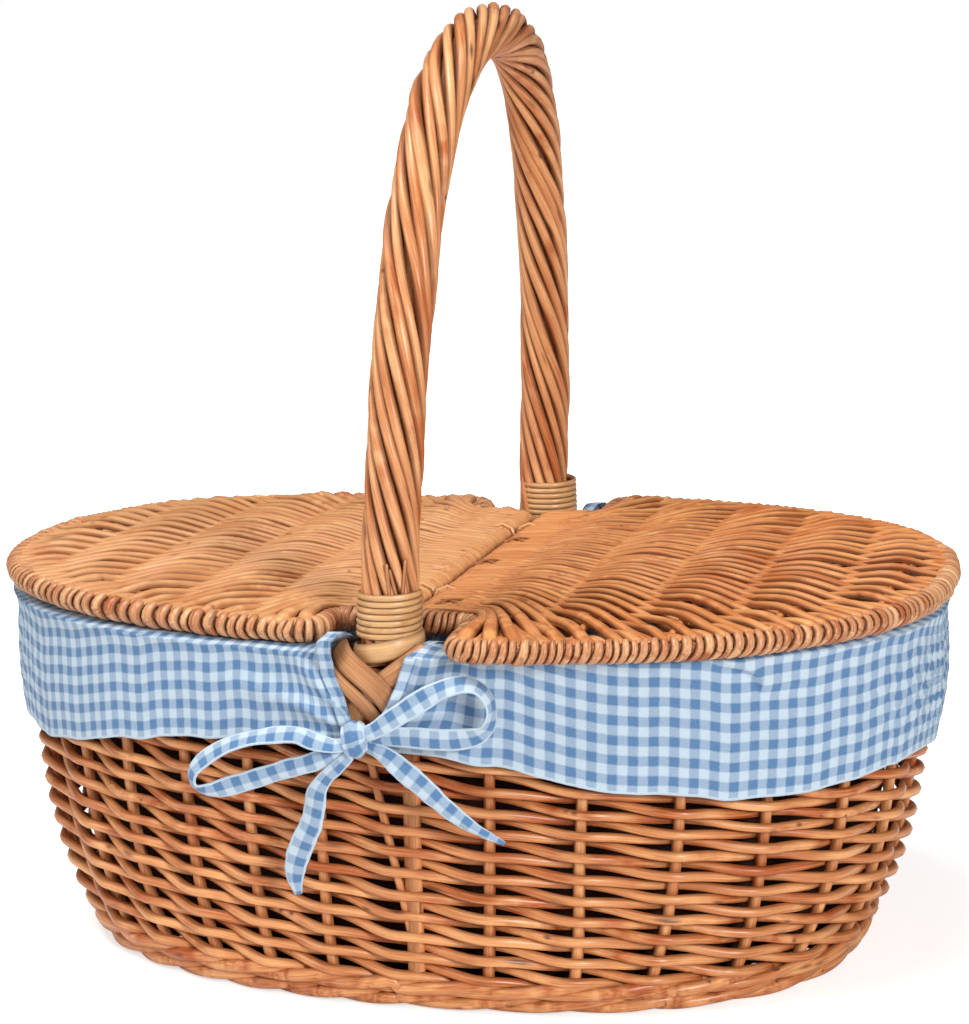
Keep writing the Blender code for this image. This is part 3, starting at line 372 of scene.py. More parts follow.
def foot_wale():
    """Three rods twisted round each other, one turn over three stakes: depth and height go round a circle."""
    stake = np.linspace(0, 1, STAKES * 12 + 1)[:-1] * STAKES
    paths = []
    for layer, (middle, inset) in enumerate(zip(WALE_LEVELS, WALE_DEPTHS)):
        for k in range(3):
            turn = 2 * math.pi * (stake / 3 + k / 3 + layer / 6)
            z = np.maximum(middle + WALE_TWIST[1] * np.sin(turn), GROUND_GAP)
            paths.append(on_wall(stake_share(stake), z, inset - WALE_TWIST[0] * np.cos(turn)))
    paths = np.array(paths)
    radii = WALE_RADIUS + smooth_noise(paths.shape[:2], 60, 0.00016)
    radii[:, -1] = radii[:, 0]
    tone = 0.5 + smooth_noise(paths.shape[:2], 40, 0.35)
    piece = add_rods("foot_wale_rods", paths, radii, SIDE_WILLOW, "basket", wall_facing(stake_share(stake)), tone=tone,
                     closed=True)
    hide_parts("foot_wale")


foot_wale()

# Side: 28 rods, one started beside each stake, each going in front of one stake and behind the next and
# rising half a round at every stake. The stakes are thicker straight rods inside them.
ROUND, ROD_RADIUS, FIRST_ROUND = 0.0092, 0.0022, 0.0158
HALF_ROUNDS = 28


def bent(phase, sharpness=0.975):
    """Swing of a rod between its front and back passes: an arcsine of a cosine, sharper than a plain wave."""
    return np.arcsin(sharpness * np.cos(phase)) / math.asin(sharpness)


def side_rods():
    """Rod r passes stake r - t at height foot + t * round / 2, in front of it for even t and behind for odd t."""
    t = np.linspace(-0.6, HALF_ROUNDS + 0.4, (HALF_ROUNDS + 1) * 9 + 1)[None]
    shape = (STAKES, t.size)
    travel = stake_share(np.arange(STAKES)[:, None] - t + smooth_noise(shape, HALF_ROUNDS, 0.012))
    level = t - 0.55 * np.sin(2 * math.pi * t) / (2 * math.pi)
    z = FIRST_ROUND + ROUND / 2 * level + smooth_noise(shape, HALF_ROUNDS, 0.00028)
    swing = STAKE_RADIUS + ROD_RADIUS - 0.0002
    depth = STAKE_LINE - swing * bent(math.pi * t) + smooth_noise(shape, HALF_ROUNDS, 0.00015)
    radii = ROD_RADIUS * (1.04 - 0.13 * t / HALF_ROUNDS) * (1 + smooth_noise(shape, 30, 0.045))
    tone = 0.42 + smooth_noise(shape, HALF_ROUNDS // 2, 0.42)
    paths = on_wall(travel, z, depth)
    piece = add_rods("side_rods", paths, radii, SIDE_WILLOW, "basket", wall_facing(travel), tone=tone)
    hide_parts("side_weave")


side_rods()


STAKE_FOOT, STAKE_TOP = 0.004, 0.1472
BORDER_LEVEL, BORDER_DEPTH = 0.1507, 0.0075


def stakes_and_border():
    """Stakes up the inside of the weave. Each then turns to the right and lies down as part of the border.

    Lying, it goes one and a quarter times round a circle of depth and height, over three stakes.
    """
    rise = np.linspace(0, 1, 15)[None]
    which = np.array([k for k in range(STAKES) if k not in (0, STAKES // 2)])[:, None]
    number = which + smooth_noise((len(which), 15), 3, 0.03)
    over = np.linspace(0, 1, 25)[None, 1:]
    travel, lie_travel = stake_share(number), stake_share(number[:, -1:] + 0.15 * over + 2.85 * over ** 1.5)
    turn = math.pi * (0.5 + over * 2.5)
    lain = np.minimum(over * 4, 1)
    lie_z = BORDER_LEVEL - 0.0022 * np.cos(turn) * lain - (BORDER_LEVEL - STAKE_TOP) * (1 - lain)
    lie_depth = BORDER_DEPTH + 0.0042 * np.sin(turn - math.pi / 2)
    path = np.concatenate([on_wall(travel, STAKE_FOOT + (STAKE_TOP - STAKE_FOOT) * rise, STAKE_LINE),
                           on_wall(lie_travel, lie_z, lie_depth)], 1)
    shrink = np.concatenate([1.0 - 0.12 * rise[0], np.linspace(0.86, 0.62, 24)])
    piece = add_rods("stake_rods", path, STAKE_RADIUS * shrink[None], SIDE_WILLOW, "basket",
                     wall_facing(np.concatenate([travel, lie_travel], 1)))
    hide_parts("stakes_and_border")


stakes_and_border()

# Bottom: nine stripped sticks along the basket with thinner weavers over and under them, cut to the oval inside
# the foot, which holds them.
BOTTOM_AXES, BOTTOM_LEVEL = FOOT_AXES - 0.0135, 0.0055
BOTTOM_STICKS, BOTTOM_WEAVERS, BOTTOM_STICK_RADIUS, BOTTOM_WEAVER_RADIUS = 9, 82, 0.0024, 0.0017


def bottom():
    """Sticks along x and weavers along y, each weaver a wave over the sticks, both ended on the oval."""
    def places(number, own, other):
        """Evenly spaced lines across one axis of the oval, and the oval's half width at each along the other."""
        place = np.linspace(-1, 1, number + 2)[1:-1, None] * own
        return place, other * (1 - (np.abs(place) / own) ** (2 / OVAL_POWER)) ** (OVAL_POWER / 2)
    y, reach = places(BOTTOM_STICKS, BOTTOM_AXES[1], BOTTOM_AXES[0])
    x = reach * np.linspace(-1, 1, 24)
    paths = np.stack(np.broadcast_arrays(x, y, BOTTOM_LEVEL), -1)
    piece = add_rods("bottom_sticks", paths, BOTTOM_STICK_RADIUS, SIDE_WILLOW, "basket")
    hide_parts("bottom")
    phase = math.pi / (y[1, 0] - y[0, 0])
    x, reach = places(BOTTOM_WEAVERS, BOTTOM_AXES[0], BOTTOM_AXES[1])
    y = reach * np.linspace(-1, 1, 60)
    z = BOTTOM_LEVEL + BOTTOM_STICK_RADIUS * np.cos(phase * y + math.pi * np.arange(BOTTOM_WEAVERS)[:, None])
    paths = np.stack(np.broadcast_arrays(x, y, z), -1)
    piece = add_rods("bottom_weavers", paths, BOTTOM_WEAVER_RADIUS, SIDE_WILLOW, "basket", sides=6)


bottom()

# Handle: a bent stick with twelve rods twisted round it like a rope, lighter than the side. Its ends go
# down inside the weave, where the near one shows beside a thin stake.
HANDLE_SPAN, HANDLE_RISE, HANDLE_POWER, ROPE_FOOT, HANDLE_LEAN = 0.135, 0.242, 0.83, 0.1557, 0.0074
ROPE_RODS, ROPE_ROD_RADIUS, ROPE_LINE, ROPE_TURN = 12, 0.00235, 0.0094, 0.200
HANDLE_WILLOW = willow("handle_willow", (0.94, 0.49, 0.220), (0.52, 0.13, 0.028), streaks=0.5, roughness=0.38,
                       coat=0.35, groove_shade=0.72)


def hoop_line(count):
    """Centre line of the handle from the front foot to the back foot, evenly spaced: x, y, z and travel.

    Plan and height go by powers of cosine and sine. The hoop leans to the right in proportion to height, and stands
    2 mm to the left and a little askew below its top.
    """
    fine = np.linspace(0, math.pi, 2001)
    c, s = np.cos(fine), np.sin(fine)
    y = -HANDLE_SPAN * np.sign(c) * np.abs(c) ** HANDLE_POWER
    z = ROPE_FOOT + HANDLE_RISE * np.abs(s) ** HANDLE_POWER
    travel = travelled(np.stack([y, z], -1))
    at = np.linspace(0, travel[-1], count)
    y, z = np.interp(at, travel, y), np.interp(at, travel, z)
    height = (z - ROPE_FOOT) / HANDLE_RISE
    askew = (-0.0020 - 0.0010 * y / HANDLE_SPAN) * (1 - height ** 6)
    return askew + HANDLE_LEAN * height, y, z, at


def handle():
    """Rod k lies at the angle 2 pi (travel / turn + k / 12) round the core, with small wanders of its own."""
    count = 260
    shape = (ROPE_RODS, count)
    x, y, z, at = hoop_line(count)
    ahead = unit(np.stack([np.gradient(y), np.gradient(z)], -1))
    k = np.arange(ROPE_RODS)[:, None]
    turn = 2 * math.pi * (at[None] / ROPE_TURN + k / ROPE_RODS) + smooth_noise(shape, 14, 0.07)
    line = ROPE_LINE * (1 + smooth_noise(shape, 12, 0.018))
    out = line * np.cos(turn)
    paths = np.stack([x + line * np.sin(turn), y + out * ahead[:, 1], z - out * ahead[:, 0]], -1)
    facing = paths - np.stack([x, y, z], -1)[None]
    radii = ROPE_ROD_RADIUS * (1 + seed.normal(0, 0.08, (ROPE_RODS, 1))) * (1 + smooth_noise(shape, 10, 0.04))
    # Painted light: the far half of the rope, which the lamps light less than the near half, gets a lighter tone.
    far_leg_painted_light = -0.5 * (at > at[-1] * 0.55)
    tone = 0.42 + seed.normal(0, 0.3, (ROPE_RODS, 1)) + smooth_noise(shape, 12, 0.2) + far_leg_painted_light
    for i in range(ROPE_RODS):
        one = slice(i, i + 1)
        piece = add_rods(f"handle_rod_{i + 1}", paths[one], radii[one], HANDLE_WILLOW, "basket", facing[one], sides=10,
                         tone=tone[one])
        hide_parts(f"handle_strand_{i + 1}")


handle()

# Lids: each is a hoop, straight along the seam, with ribs across it and rods woven over and under them from
# the seam to the curved rim, where they spread apart. Their ends wind round the hoop and cover it.
LID_LENGTH, LID_WIDTHS, TIP_RISE, DOME_RISE = 0.213, {-1: 0.1465, 1: 0.167}, 0.003, 0.004
HOOP_RADIUS, HOOP_X, HOOP_Z, LID_CORNER, NOTCH_X = 0.0052, 0.0063, 0.1612, 0.1185, 0.0265
RIB_PITCH, RIB_RADIUS = 0.037, 0.0018
RIB_PLACES = 0.0405 + RIB_PITCH * np.arange(5)
LID_RODS, LID_ROD_RADIUS, LID_ROD_GROWTH = 82, 0.00172, {-1: 0.00125, 1: 0.0010}
WRAP_RADIUS, WRAP_POINTS, WRAP_START, WRAP_END = 0.0040, 8, math.radians(215), math.radians(100)
STRAP_WILLOW = willow("strap_willow", (0.80, 0.40, 0.17), (0.42, 0.15, 0.055), streaks=0.6, scars=0.5, roughness=0.38,
                      coat=0.3, groove_shade=0.5)
LID_WILLOW = {-1: willow("lid_left_willow", (0.82, 0.43, 0.185), (0.58, 0.21, 0.068), streaks=0.34, scars=0.7,
                         roughness=0.42, coat=0.3, groove_shade=0.42),
              1: willow("lid_right_willow", (0.93, 0.425, 0.150), (0.54, 0.140, 0.028), streaks=0.42, scars=0.7,
                        roughness=0.42, coat=0.35, groove_shade=0.72)}
RIM_WILLOW = willow("rim_willow", (0.90, 0.52, 0.260), (0.44, 0.115, 0.030), streaks=0.55, scars=0.7, roughness=0.4,
                    coat=0.4, groove_shade=0.9)
HANDS = {-1: "left", 1: "right"}


def bell(value, middle, width):
    """Bell curve: one in the middle, and 1 / e at the width to each side of it."""
    return np.exp(-((value - middle) / width) ** 2)


def rounded(corners, steps=5):
    """Closed outline through corners (x, y, radius): an arc takes the place of each corner with a radius."""
    points = []
    for i, (x, y, radius) in enumerate(corners):
        here = np.array([x, y])
        if not radius:
            points.append(here)
            continue
        before = unit(np.array(corners[i - 1][:2]) - here)
        after = unit(np.array(corners[(i + 1) % len(corners)][:2]) - here)
        half = math.acos(np.clip(before @ after, -1, 1)) / 2
        centre = here + unit(before + after) * radius / math.sin(half)
        share = np.linspace(0, 1, steps + 1)[:, None]
        spokes = here + (before * (1 - share) + after * share) * radius / math.tan(half) - centre
        points.extend(centre + unit(spokes) * radius)
    return np.array(points)


def lid_outline(hand, count, inset=0.0):
    """Centre line of a lid's hoop as evenly spaced points, from the rim's tip all the way round, and its length."""
    margin = HOOP_RADIUS + inset
    axes = np.array([LID_LENGTH - margin, LID_WIDTHS[hand] - margin])
    edge, notch_x, notch_y = HOOP_X + inset, NOTCH_X + margin, LID_CORNER - margin
    start = math.asin((notch_x / axes[0]) ** (1 / OVAL_POWER))
    curve = oval(axes, np.linspace(start, math.pi - start, 121))
    corner_y, outer, inner = curve[0][1], max(0.009 - inset, 0.002), 0.008 + inset
    corners = [(notch_x, corner_y, outer)] + [(x, y, 0) for x, y in curve if x > notch_x + 0.0108]
    corners += [(notch_x, -corner_y, outer), (notch_x, notch_y, inner), (edge, notch_y, outer),
                (edge, -notch_y, outer), (notch_x, -notch_y, inner)]
    points = rounded(corners)
    points = np.roll(points, -int(np.argmax(points[:, 0])), 0)
    points = np.vstack([points, points[:1]])
    travel = travelled(points)
    at = np.linspace(0, travel[-1], count + 1)[:-1]
    return np.stack([np.interp(at, travel, line) for line in points.T], -1) * (hand, 1), travel[-1]


def tip_rise(x):
    """The lids curl up towards their tips, by the square of the distance from the seam."""
    return TIP_RISE * (x / LID_LENGTH) ** 2


def dome(hand, x, y):
    """Rise of the woven face above the hoop's foot: the tip's own rise and the product of two parabolas."""
    along = (2 * np.abs(x) / LID_LENGTH - 1) ** 2
    across = (y / LID_WIDTHS[hand]) ** 2
    return tip_rise(x) + DOME_RISE * np.clip(1 - along, 0, 1) * np.clip(1 - across, 0, 1)


def lid_ribs(hand):
    """Five sticks across the lid in the middle of the weave, each an arch between the two sides of the rim."""
    line, _ = lid_outline(hand, 720, 0.003)
    lid = f"lid_{HANDS[hand]}"
    for k, place in enumerate(RIB_PLACES):
        near = line[np.abs(np.abs(line[:, 0]) - place) < 0.004]
        reach = np.abs(near[:, 1]).max() - 0.001
        y = np.linspace(-reach, reach, 25)
        x = np.full(25, hand * place)
        path = np.stack([x, y, HOOP_Z + RIB_RADIUS + dome(hand, x, y)], -1)
        piece = add_rods(f"{lid}_rib_rod_{k + 1}", path[None], RIB_RADIUS, LID_WILLOW[hand], lid)
        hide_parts(f"{lid}_rib_{k + 1}")


def lid_weave(hand):
    """Rod i leaves the seam at y(i), runs out along x and bends to share (i + 1/2) / n of the curved rim.

    Plan: cubic Bezier curve. Height: middle of the weave + dome + amplitude * (-1)^i * bent cosine of
    pi * (x - first rib) / spacing. At the seam it comes up round the hoop.
    """
    count, steps, lid = LID_RODS, 110, f"lid_{HANDS[hand]}"
    order = np.roll(lid_outline(hand, 2400)[0], 1200, 0)
    order = order[np.abs(order[:, 0]) > 0.0335]
    if order[0, 1] > 0:
        order = order[::-1]
    share = (np.arange(count) + 0.5 + seed.normal(0, 0.12, count)) / count
    arc = np.linspace(0, 1, len(order))
    spread = 0.5 + 0.5 * np.sign(share - 0.5) * np.abs(2 * share - 1) ** 0.86
    end = np.stack([np.interp(spread, arc, np.abs(order[:, 0])), np.interp(spread, arc, order[:, 1])], -1)
    start = np.stack([np.full(count, HOOP_X), (2 * share - 1) * (LID_CORNER - 0.0085)], -1)
    away = end - start
    one = start + np.stack([np.maximum(0.034, 0.35 * away[:, 0]), 0 * share], -1)
    two = start + np.stack([np.maximum(0.031, 0.62 * away[:, 0]), 0.3 * away[:, 1]], -1)
    t = np.linspace(0, 1, steps)[None, :, None]
    plan = ((1 - t) ** 3 * start[:, None] + 3 * t * (1 - t) ** 2 * one[:, None] + 3 * t ** 2 * (1 - t) * two[:, None]
            + t ** 3 * end[:, None])
    x, y, t = plan[..., 0], plan[..., 1], t[..., 0]
    y = y + smooth_noise(y.shape, 7, 0.0005) * np.sin(math.pi * t)
    sign = (-1.0) ** np.arange(count)[:, None]
    near_rim = np.clip((1 - t) * 9, 0, 1)
    rise = np.clip((x - 0.020) / 0.016, 0, 1) * near_rim
    rise = rise * rise * (3 - 2 * rise)
    phase = math.pi * (x - RIB_PLACES[0]) / RIB_PITCH
    swing = bent(phase, 0.85) * 0.0028 * sign * (1 + smooth_noise(x.shape, 6, 0.08))
    z = HOOP_Z + 0.0023 + 0.0018 * (1 - rise) * near_rim + dome(hand, x, y) + rise * swing
    turn = np.linspace(WRAP_START, WRAP_END, WRAP_POINTS)[None]
    x = np.concatenate([HOOP_X + WRAP_RADIUS * np.cos(turn) + 0 * x[:, :1], x], 1)
    z = np.concatenate([HOOP_Z + WRAP_RADIUS * np.sin(turn) + 0 * z[:, :1], z], 1)
    y = np.concatenate([y[:, :1] + 0 * turn, y], 1)
    facing = np.zeros(x.shape + (3,))
    facing[..., 2] = 1
    facing[:, :WRAP_POINTS, 0], facing[:, :WRAP_POINTS, 2] = np.cos(turn) * hand, np.sin(turn)
    grow = np.concatenate([np.zeros(WRAP_POINTS), np.linspace(0, 1, steps)])[None]
    from_side = np.minimum(share, 1 - share)[:, None] * count
    width = (LID_ROD_RADIUS + LID_ROD_GROWTH[hand] * grow ** 1.4) * (1 + 0.35 * grow * bell(from_side, 0, 8))
    radii = width * (1 + seed.normal(0, 0.07, (count, 1))) * (1 + smooth_noise(x.shape, 12, 0.03))
    tone = 0.42 + seed.normal(0, 0.22, (count, 1)) + smooth_noise(x.shape, 9, 0.18)
    piece = add_rods(f"{lid}_weave", np.stack([hand * x, y, z], -1), radii, LID_WILLOW[hand], lid, facing, flat=0.66,
                     tone=tone)
    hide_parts(f"{lid}_panel")


def lid_rim(hand):
    """Rod ends wound round the hoop: point = hoop + rho * (cos u * outward + sin u * up).

    u grows by a turn per local pitch, and a shear along the hoop leans the turns over. The left lid's turns are
    broader at its back and at its front, and lie wider and looser along the seam.
    """
    left, lid, fine, per_turn, near = float(hand < 0), f"lid_{HANDS[hand]}", 9000, 14, 35
    line, length = lid_outline(hand, fine)
    ahead = unit(np.roll(line, -1, 0) - np.roll(line, 1, 0))
    outward = np.stack([ahead[:, 1], -ahead[:, 0]], -1) * hand
    seam = np.clip((0.0155 - np.abs(line[:, 0])) / 0.006, 0, 1)
    far = np.clip((line[:, 1] - 0.075) / 0.02, 0, 1) * (1 - seam)
    chunky = bell(line[:, 0], -0.115, 0.045) * (line[:, 1] < 0)
    base = 0.0041 + 0.0010 * left * seam + (0.0014 + 0.0034 * left) * far + 0.0025 * left * chunky
    turn_width = base * np.exp(smooth_noise((1, fine), 240, 0.20)[0])
    step = length / fine
    bend = np.linalg.norm(np.roll(ahead, -near, 0) - np.roll(ahead, near, 0), axis=1) / (2 * near * step)
    turns = np.cumsum(step / (turn_width * (1 - 0.6 * np.clip(0.005 * bend, 0, 1))))
    total = int(turns[-1])
    at = np.linspace(0, total, total * per_turn, endpoint=False)
    grid = np.arange(fine + 1) * step
    place = np.interp(at, turns * total / turns[-1], grid[:-1])
    u = 2 * math.pi * at
    far_here = np.interp(place, grid[:-1], far) * left
    lean = (0.0007 + 0.0036 * far_here) * np.sin(u) * hand + 0.0006 * np.cos(2 * u)
    along = (place + lean) % length

    def there(values):
        """Values of the outline, taken where each point of the turns lies along it."""
        return np.interp(along, grid, np.append(values, values[0]))
    width = np.interp(place, grid[:-1], turn_width)
    noise = np.repeat(smooth_noise((1, total), total // 2, 0.05)[0], per_turn)
    coil = there(seam) * left
    rho = (HOOP_RADIUS * (1 + 0.04 * coil) - 0.9 * (0.0012 + 0.12 * (width - 0.004))) * (1 + noise)
    normal = unit(np.stack([there(outward[:, 0]), there(outward[:, 1])], -1))
    spoke = np.concatenate([np.cos(u)[:, None] * normal, np.sin(u)[:, None]], 1)
    x, y = there(line[:, 0]), there(line[:, 1])
    flattened = 1 + 0.45 * coil[:, None] * (1, 1, 0)
    path = np.stack([x - 0.0032 * coil, y, HOOP_Z + tip_rise(x)], -1) + rho[:, None] * spoke * flattened
    tone = 0.4 + np.repeat(seed.normal(0, 0.2, total), per_turn)
    piece = add_rods(f"{lid}_rim_turns", path[None], (width * 0.435)[None], RIM_WILLOW, lid, spoke[None], flat=0.62,
                     tone=tone[None], closed=True)
    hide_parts(f"{lid}_hoop")
    # The hoop rod shows only in the gaps between the rim turns; its tone, darker than the rods' own, is painted shade
    # there.
    core, _ = lid_outline(hand, 300)
    path = np.concatenate([core, HOOP_Z + tip_rise(core[:, :1])], 1)
    piece = add_rods(f"{lid}_hoop_rod", path[None], 0.0034, STRAP_WILLOW, lid, closed=True, tone=1.4)


for hand in HANDS:
    lid_ribs(hand)
    lid_weave(hand)
    lid_rim(hand)

# Cane: glossy strips of rattan skin hold the handle and the lids. Seven turns and a broad one bind each foot of
# the rope, crossed straps go down from there over the border, and loops tie the lids to a crossbar.
CANE = willow("cane", (0.87, 0.53, 0.25), (0.58, 0.28, 0.10), streaks=0.35, scars=0.0, roughness=0.3, coat=0.5,
              groove_shade=0.7)
BINDING_TURNS, BINDING_PITCH, BINDING_RADIUS, BINDING_START = 7, 0.00262, 0.00138, 0.1601
BINDING_TOP = BINDING_START + 0.0013 + BINDING_PITCH * BINDING_TURNS
CORE_RADIUS, CORE_TAIL_RADIUS, CORE_TAIL_X = 0.0058, 0.0037, 0.0080
WAYS = {"front": 1, "back": -1}
# Width of each strap of the near foot and the points that it goes through, in millimetres.
STRAPS = {1: (5, [(-19.5, -143.5, 156), (-16, -148.4, 153), (-11.8, -150.8, 150), (-7.4, -151.2, 146.6),
              (-3, -150.6, 142.6), (1, -149.8, 138.2), (4.7, -149, 133.2), (8.5, -147, 127), (12, -143, 118)]),
          2: (4.5, [(16.5, -143.2, 156), (13.5, -148.4, 153.5), (9.8, -149.8, 150.8), (5, -149.3, 147.2),
              (0, -148.7, 143.4), (-5, -148, 139), (-11, -147, 133), (-16, -143, 124)]),
          3: (3, [(-25, -143, 150), (-21.2, -147.8, 146.5), (-17.3, -149.4, 143.2), (-13.2, -149.6, 139.6),
              (-9.2, -149, 135.6), (-5.2, -148.4, 131.2), (-1.5, -147.6, 126.5), (2, -143, 120)])}


def curve_through(points, count):
    """Smooth curve through rows of numbers: cubic pieces whose slopes come from the neighbours on both sides."""
    points = np.asarray(points, float)
    more = np.concatenate([2 * points[:1] - points[1:2], points, 2 * points[-1:] - points[-2:-1]])
    at = np.linspace(0, len(points) - 1, count)
    i = np.minimum(at.astype(int), len(points) - 2)
    t = (at - i)[:, None]
    a, b, c, d = more[i], more[i + 1], more[i + 2], more[i + 3]
    return b + 0.5 * t * (c - a + t * (2 * a - 5 * b + 4 * c - d + t * (3 * b - a - 3 * c + d)))


def foot_ties(name, way):
    """Binding: a helix round the rope. Broad turn: a ring that rises to the right. Straps: curves over the border.

    The back foot has the same ties turned half round.
    """
    half_round = np.array([way, way, 1])
    x, y, z, _ = (values[:200] for values in hoop_line(400))
    turns = np.linspace(0, BINDING_TURNS, BINDING_TURNS * 32 + 1)
    level = BINDING_START + BINDING_PITCH * turns

    def spokes(angle):
        return np.stack([np.cos(angle), np.sin(angle), 0 * angle], -1)
    spoke = spokes(2 * math.pi * turns)
    wound = np.stack([np.interp(level, z, x), np.interp(level, z, y), level], -1) + (ROPE_LINE + 0.0031) * spoke
    tone = 0.3 + smooth_noise((1, len(turns)), 20, 0.25)
    piece = add_rods(f"foot_binding_rod_{name}", (wound * half_round)[None], BINDING_RADIUS, CANE, "basket",
                     (spoke * half_round)[None], flat=0.75, tone=tone)
    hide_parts(f"foot_binding_{name}")
    spoke = spokes(np.linspace(0, 2 * math.pi, 73)[:-1])
    ring = np.array([-0.0010, -HANDLE_SPAN, 0.1562]) + 0.0135 * spoke
    ring[:, 2] += 0.22 * ring[:, 0]
    piece = add_rods(f"foot_broad_turn_{name}", (ring * half_round)[None], 0.0042, CANE, "basket",
                     (spoke * half_round)[None], flat=0.27, sides=14, closed=True, tone=0.25)
    for k, (width, points) in STRAPS.items():
        path = curve_through(np.array(points) / 1000, 48) * half_round
        piece = add_rods(f"foot_strap_{name}_rod_{k}", path[None], width / 1000, STRAP_WILLOW, "basket", (0, -way, 0),
                         flat=0.24, sides=16, tone=0.12 * k)
        if k < 3:
            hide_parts(f"foot_strap_{name}_{k}")


for name, way in WAYS.items():
    foot_ties(name, way)


def handle_core():
    """The core inside the rope. Its ends go down between the rods of the side just beside the seam.

    The thin stake beside each end slants over to the left, and four cut ends of rods stand above the near binding.
    """
    x, y, z, _ = hoop_line(240)
    tail = np.linspace(0.012, 0.136, 24)
    beside = CORE_TAIL_X / BORDER_LENGTH
    near, far = on_wall(beside, tail, STAKE_LINE), on_wall(0.5 + beside, tail, STAKE_LINE)[::-1]
    path = np.concatenate([near, np.stack([x, y, z], -1)[4:-4], far])
    radii = np.full(len(path), CORE_RADIUS)
    radii[:len(tail)] = radii[-len(tail):] = CORE_TAIL_RADIUS
    piece = add_rods("handle_core_rod", path[None], radii[None], SIDE_WILLOW, "basket", (1, 0, 0), sides=12, tone=0.3)
    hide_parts("handle_core")
    level = np.linspace(0.030, 0.130, 24)
    thin = on_wall((0.0075 - 0.21 * (level - 0.030)) / BORDER_LENGTH, level, STAKE_LINE - 0.0012)
    piece = add_rods("bye_stakes", np.stack([thin, thin * (-1, -1, 1)]), 0.0019, SIDE_WILLOW, "basket", (0, -1, 0),
                     tone=0.7)
    facing = np.radians([19, 32, 45, 60])[:, None]
    tops, lean = np.array([0.0125, 0.0100, 0.0140, 0.0085])[:, None], np.array([-0.10, -0.30, 0.05, -0.25])[:, None]
    climb = np.linspace(0, 1, 6)[None] * tops
    out = 0.0118 + 0.10 * climb
    cut = np.stack([out * np.sin(facing) - 0.0010 + lean * climb, -out * np.cos(facing) - HANDLE_SPAN + 0.03 * climb,
                    BINDING_TOP - 0.0008 + climb], -1)
    piece = add_rods("cut_ends", cut, 0.0008, STRAP_WILLOW, "basket", (0, -1, 0), tone=1.5)


handle_core()

# The crossbar and the hinge loops, out of sight under the lids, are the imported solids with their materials.
for name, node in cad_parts.items():
    if name == "crossbar" or name.startswith("hinge_loop"):
        for slot in node.material_slots:
            slot.material = SIDE_WILLOW if name == "crossbar" else CANE


def seam_ties():
    """Thin cane crossed over the seam side of the right lid in three places: short arches over the hoop."""
    paths = []
    for x, y in ((0.0150, -0.100), (0.0095, -0.018), (0.0100, 0.033)):
        for lean in (-1, 1):
            t = np.linspace(-1, 1, 13)
            rise = HOOP_Z + 0.0056 + 0.0010 * (1 - t ** 2) + (0.0004 if lean > 0 else 0)
            paths.append(np.stack([x + 0.0048 * t, y + 0.0042 * lean * t, rise], -1))
    piece = add_rods("lid_right_seam_ties", np.array(paths), 0.0008, STRAP_WILLOW, "lid_right", flat=0.5, tone=1.2)


seam_ties()

# Cloth: blue and white cotton gingham with an 8 mm check. The liner hangs inside the basket; its outer face is a
# near-black brown, painted shade for the dark seen through the gaps of the side. Its top is folded out over the border
# as a hemmed valance in two halves, gathered at the handle.
CHECK = 0.00815
PALE, BLUE = (0.585, 0.705, 0.81, 1), (0.108, 0.230, 0.435, 1)


def gingham():
    """Check of two stripes: amount of blue = half the stripe along plus half the stripe across; hems stay pale."""
    material, nodes = new_material("gingham")
    lay = nodes.add("ShaderNodeUVMap", uv_map="lay").outputs[0]
    wander = nodes.noise(lay, 240.0, 2.0)["Color"]
    shift = nodes.add("ShaderNodeVectorMath", {0: wander, 1: (0.0006, 0.0006, 0.0)}, operation="MULTIPLY").outputs[0]
    moved = nodes.add("ShaderNodeVectorMath", {0: lay, 1: shift}, operation="ADD").outputs[0]

    def stripe(place):
        wave = nodes.add("ShaderNodeMath", {0: nodes.work("MULTIPLY", place, 2 * math.pi / CHECK)}, operation="SINE")
        return nodes.span(wave.outputs[0], -0.28, 0.28, 0.0, 0.5)

    along, across, _ = nodes.add("ShaderNodeSeparateXYZ", {0: moved}).outputs
    threads = nodes.noise(lay, 1500.0, 2.0)[0]
    both = nodes.work("ADD", stripe(along), stripe(across))
    amount = nodes.work("ADD", both, nodes.span(threads, 0.3, 0.7, -0.10, 0.10), clamp=True)
    hem = nodes.add("ShaderNodeAttribute", attribute_name="tone").outputs["Fac"]
    shown = nodes.work("MULTIPLY", amount, nodes.span(hem, 0.45, 0.6, 1.0, 0.10))
    height = nodes.work("ADD", nodes.noise(lay, 90.0, 3.0)[0], nodes.work("MULTIPLY", threads, 0.25))
    bump = nodes.add("ShaderNodeBump", {"Strength": 0.5, "Distance": 0.0012, "Height": height})
    nodes.finish(Base_Color=nodes.mix(shown, PALE, BLUE), Roughness=0.9, Normal=bump.outputs[0], Sheen_Weight=0.15,
                 Specular_IOR_Level=0.25)
    return material


GINGHAM = gingham()
# Painted shade: the liner's outer face is a near-black brown, for the dark seen through the gaps of the side.
LINER_BACK_SHADE, nodes = new_material("liner_back_painted_shade")
nodes.finish(Base_Color=(0.040, 0.011, 0.005, 1), Roughness=0.95)


